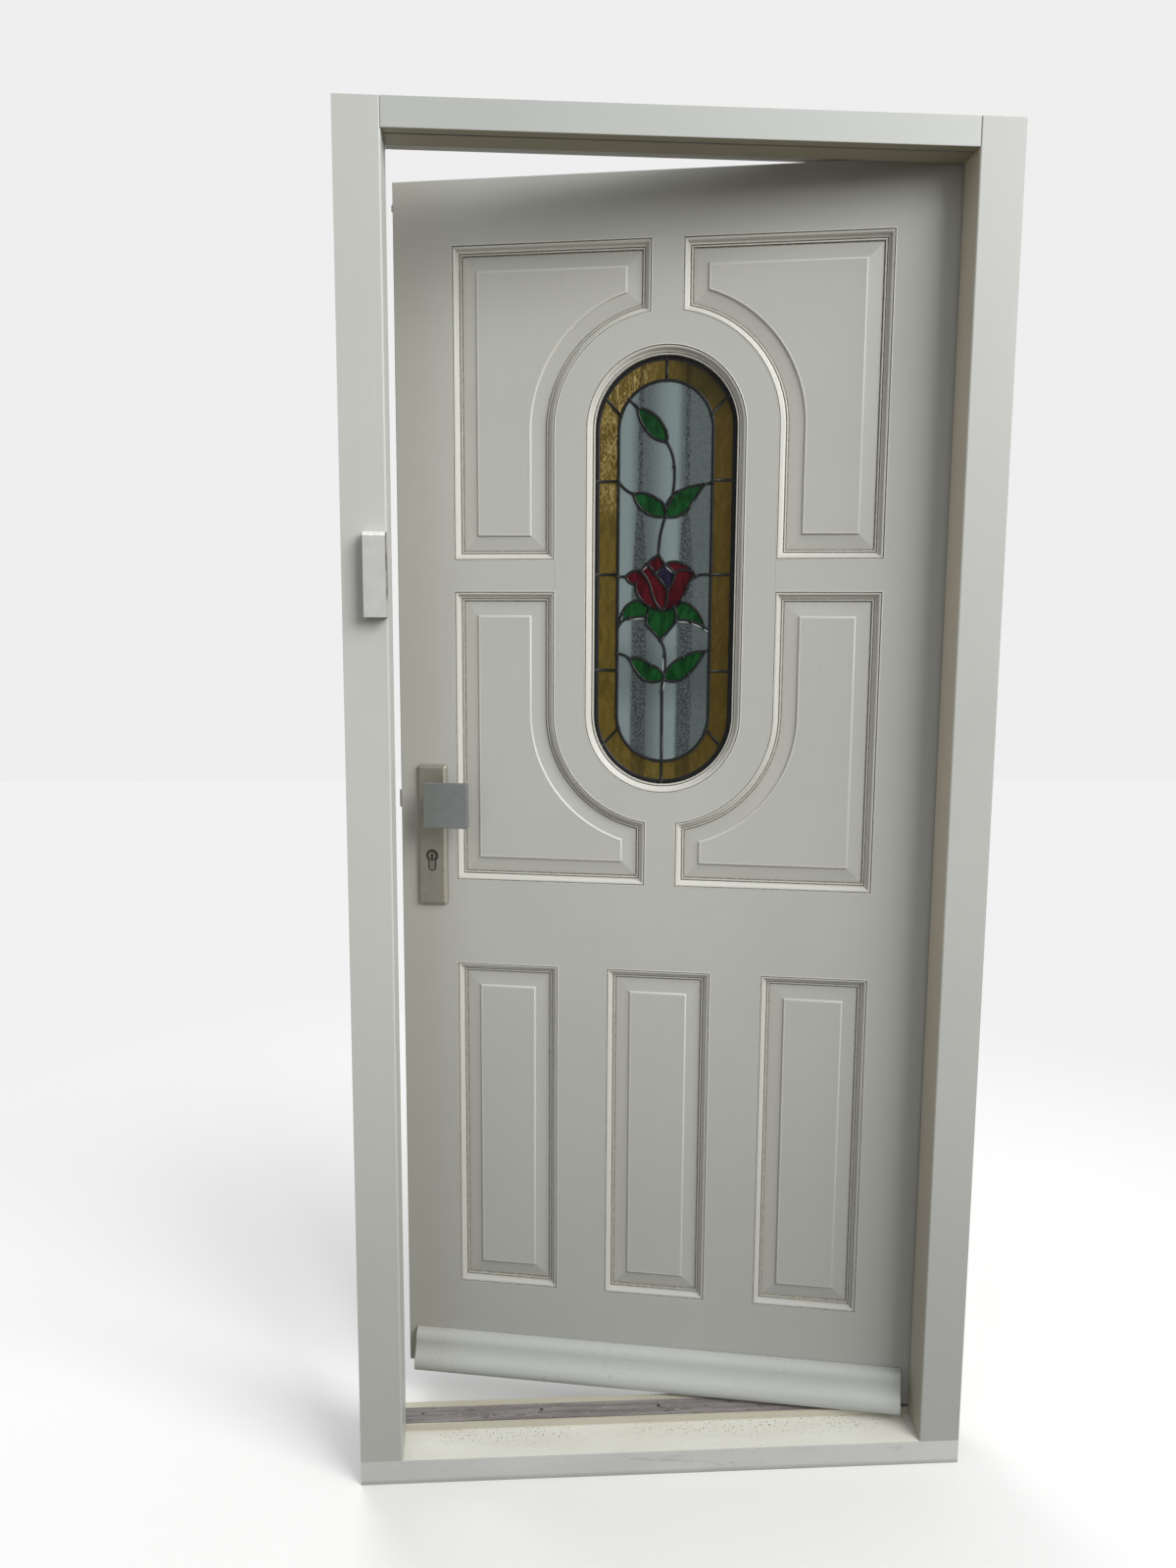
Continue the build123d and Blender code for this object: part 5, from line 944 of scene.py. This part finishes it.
def floor_finish():
    """Pale floor that lights the door less than it shows, and fades into the backdrop."""
    f = Finish("floor")
    place = f.place()
    seen = f.mix(f.noise(place, 2.0), srgb(222, 222, 220), srgb(226, 226, 225))
    path = f.node("LightPath").outputs
    tint = f.mix(path["Is Diffuse Ray"], seen, srgb(108, 101, 90))
    x, y, _ = f.split(place)
    away = f.math("SQRT", f.plus(f.times(x, x), f.times(y, y)))
    fade = f.times(f.step(away, *FLOOR_FADE), path["Is Camera Ray"])
    f.set(Base_Color=f.mix(fade, tint, srgb(0, 0, 0)), Roughness=0.85, Specular_IOR_Level=0.2)
    f.set(Emission_Color=BACKDROP, Emission_Strength=fade)
    return f.mat


def world():
    """Sky that brightens upwards, with the plain backdrop where the camera looks."""
    made = bpy.data.worlds.new("studio")
    bpy.context.scene.world = made
    made.use_nodes = True
    w = Nodes(made.node_tree)
    height = w.split(w.node("TexCoord").outputs["Generated"])["Z"]
    rise = {"Value": height, "From Min": -0.1, "From Max": 0.9, "To Min": 0.13, "To Max": 0.95}
    sky = w.tree.nodes["Background"]
    w.feed(sky.inputs["Strength"], w.node("MapRange", rise).outputs[0])
    w.feed(sky.inputs["Color"], (0.97, 0.985, 1.0, 1.0))
    seen = w.node("Background", {"Color": BACKDROP, "Strength": 1.0})
    path = w.node("LightPath").outputs
    direct = w.math("MAXIMUM", path["Is Camera Ray"], path["Is Transmission Ray"])
    both = w.node("MixShader", {0: direct, 1: sky.outputs[0], 2: seen.outputs[0]})
    w.feed(w.tree.nodes["World Output"].inputs["Surface"], both.outputs[0])


def lamp(name, place, target, size, power, colour):
    """Square soft light, turned to a target."""
    data = bpy.data.lights.new(name, "AREA")
    data.shape = "SQUARE"
    data.size = size
    data.energy = power
    data.color = colour
    made = bpy.data.objects.new(name, data)
    made.location = place
    made.rotation_mode = "QUATERNION"
    made.rotation_quaternion = (Vector(target) - Vector(place)).to_track_quat("-Z", "Y")
    bpy.context.scene.collection.objects.link(made)


CAMERA_PLACE = (-0.2338, -1.7416, 1.3631)
CAMERA_YAW = -0.0604       # radians
CAMERA_PITCH = -0.1292
CAMERA_ROLL = -0.0058
LENS_MM = 25.92
SENSOR_MM = 36.0


def camera():
    """Phone held at chest height, a little to the left of the door."""
    data = bpy.data.cameras.new("camera")
    data.sensor_fit = "AUTO"
    data.sensor_width = SENSOR_MM
    data.lens = LENS_MM
    made = bpy.data.objects.new("camera", data)
    turn = (Matrix.Rotation(CAMERA_YAW, 3, "Z") @ Matrix.Rotation(CAMERA_PITCH, 3, "X")
            @ Matrix.Rotation(CAMERA_ROLL, 3, "Y"))
    right, ahead, up = turn.col[0], turn.col[1], turn.col[2]
    basis = Matrix((right, up, -ahead)).transposed()
    made.matrix_world = Matrix.Translation(CAMERA_PLACE) @ basis.to_4x4()
    bpy.context.scene.collection.objects.link(made)
    bpy.context.scene.camera = made


def main():
    bpy.context.scene.view_settings.view_transform = "Standard"
    camera()
    finishes()
    round_off(["weatherboard", "light_ring", "hinge_frame_flaps", "hinge_leaf_flaps", "hinge_pins",
               "outside_knob", "inside_lever", "cylinder_body", "cylinder_plug", "glazing_bead",
               "latch_edge_lipping"])
    soften(["jamb_block", "backplate_outside", "backplate_inside"], width=0.0006)
    soften(["jamb_latch_side", "jamb_hinge_side", "head_rail", "sill"], width=0.0012)
    lead_lines()
    mouldings()
    cylinder_face()
    studio()


main()
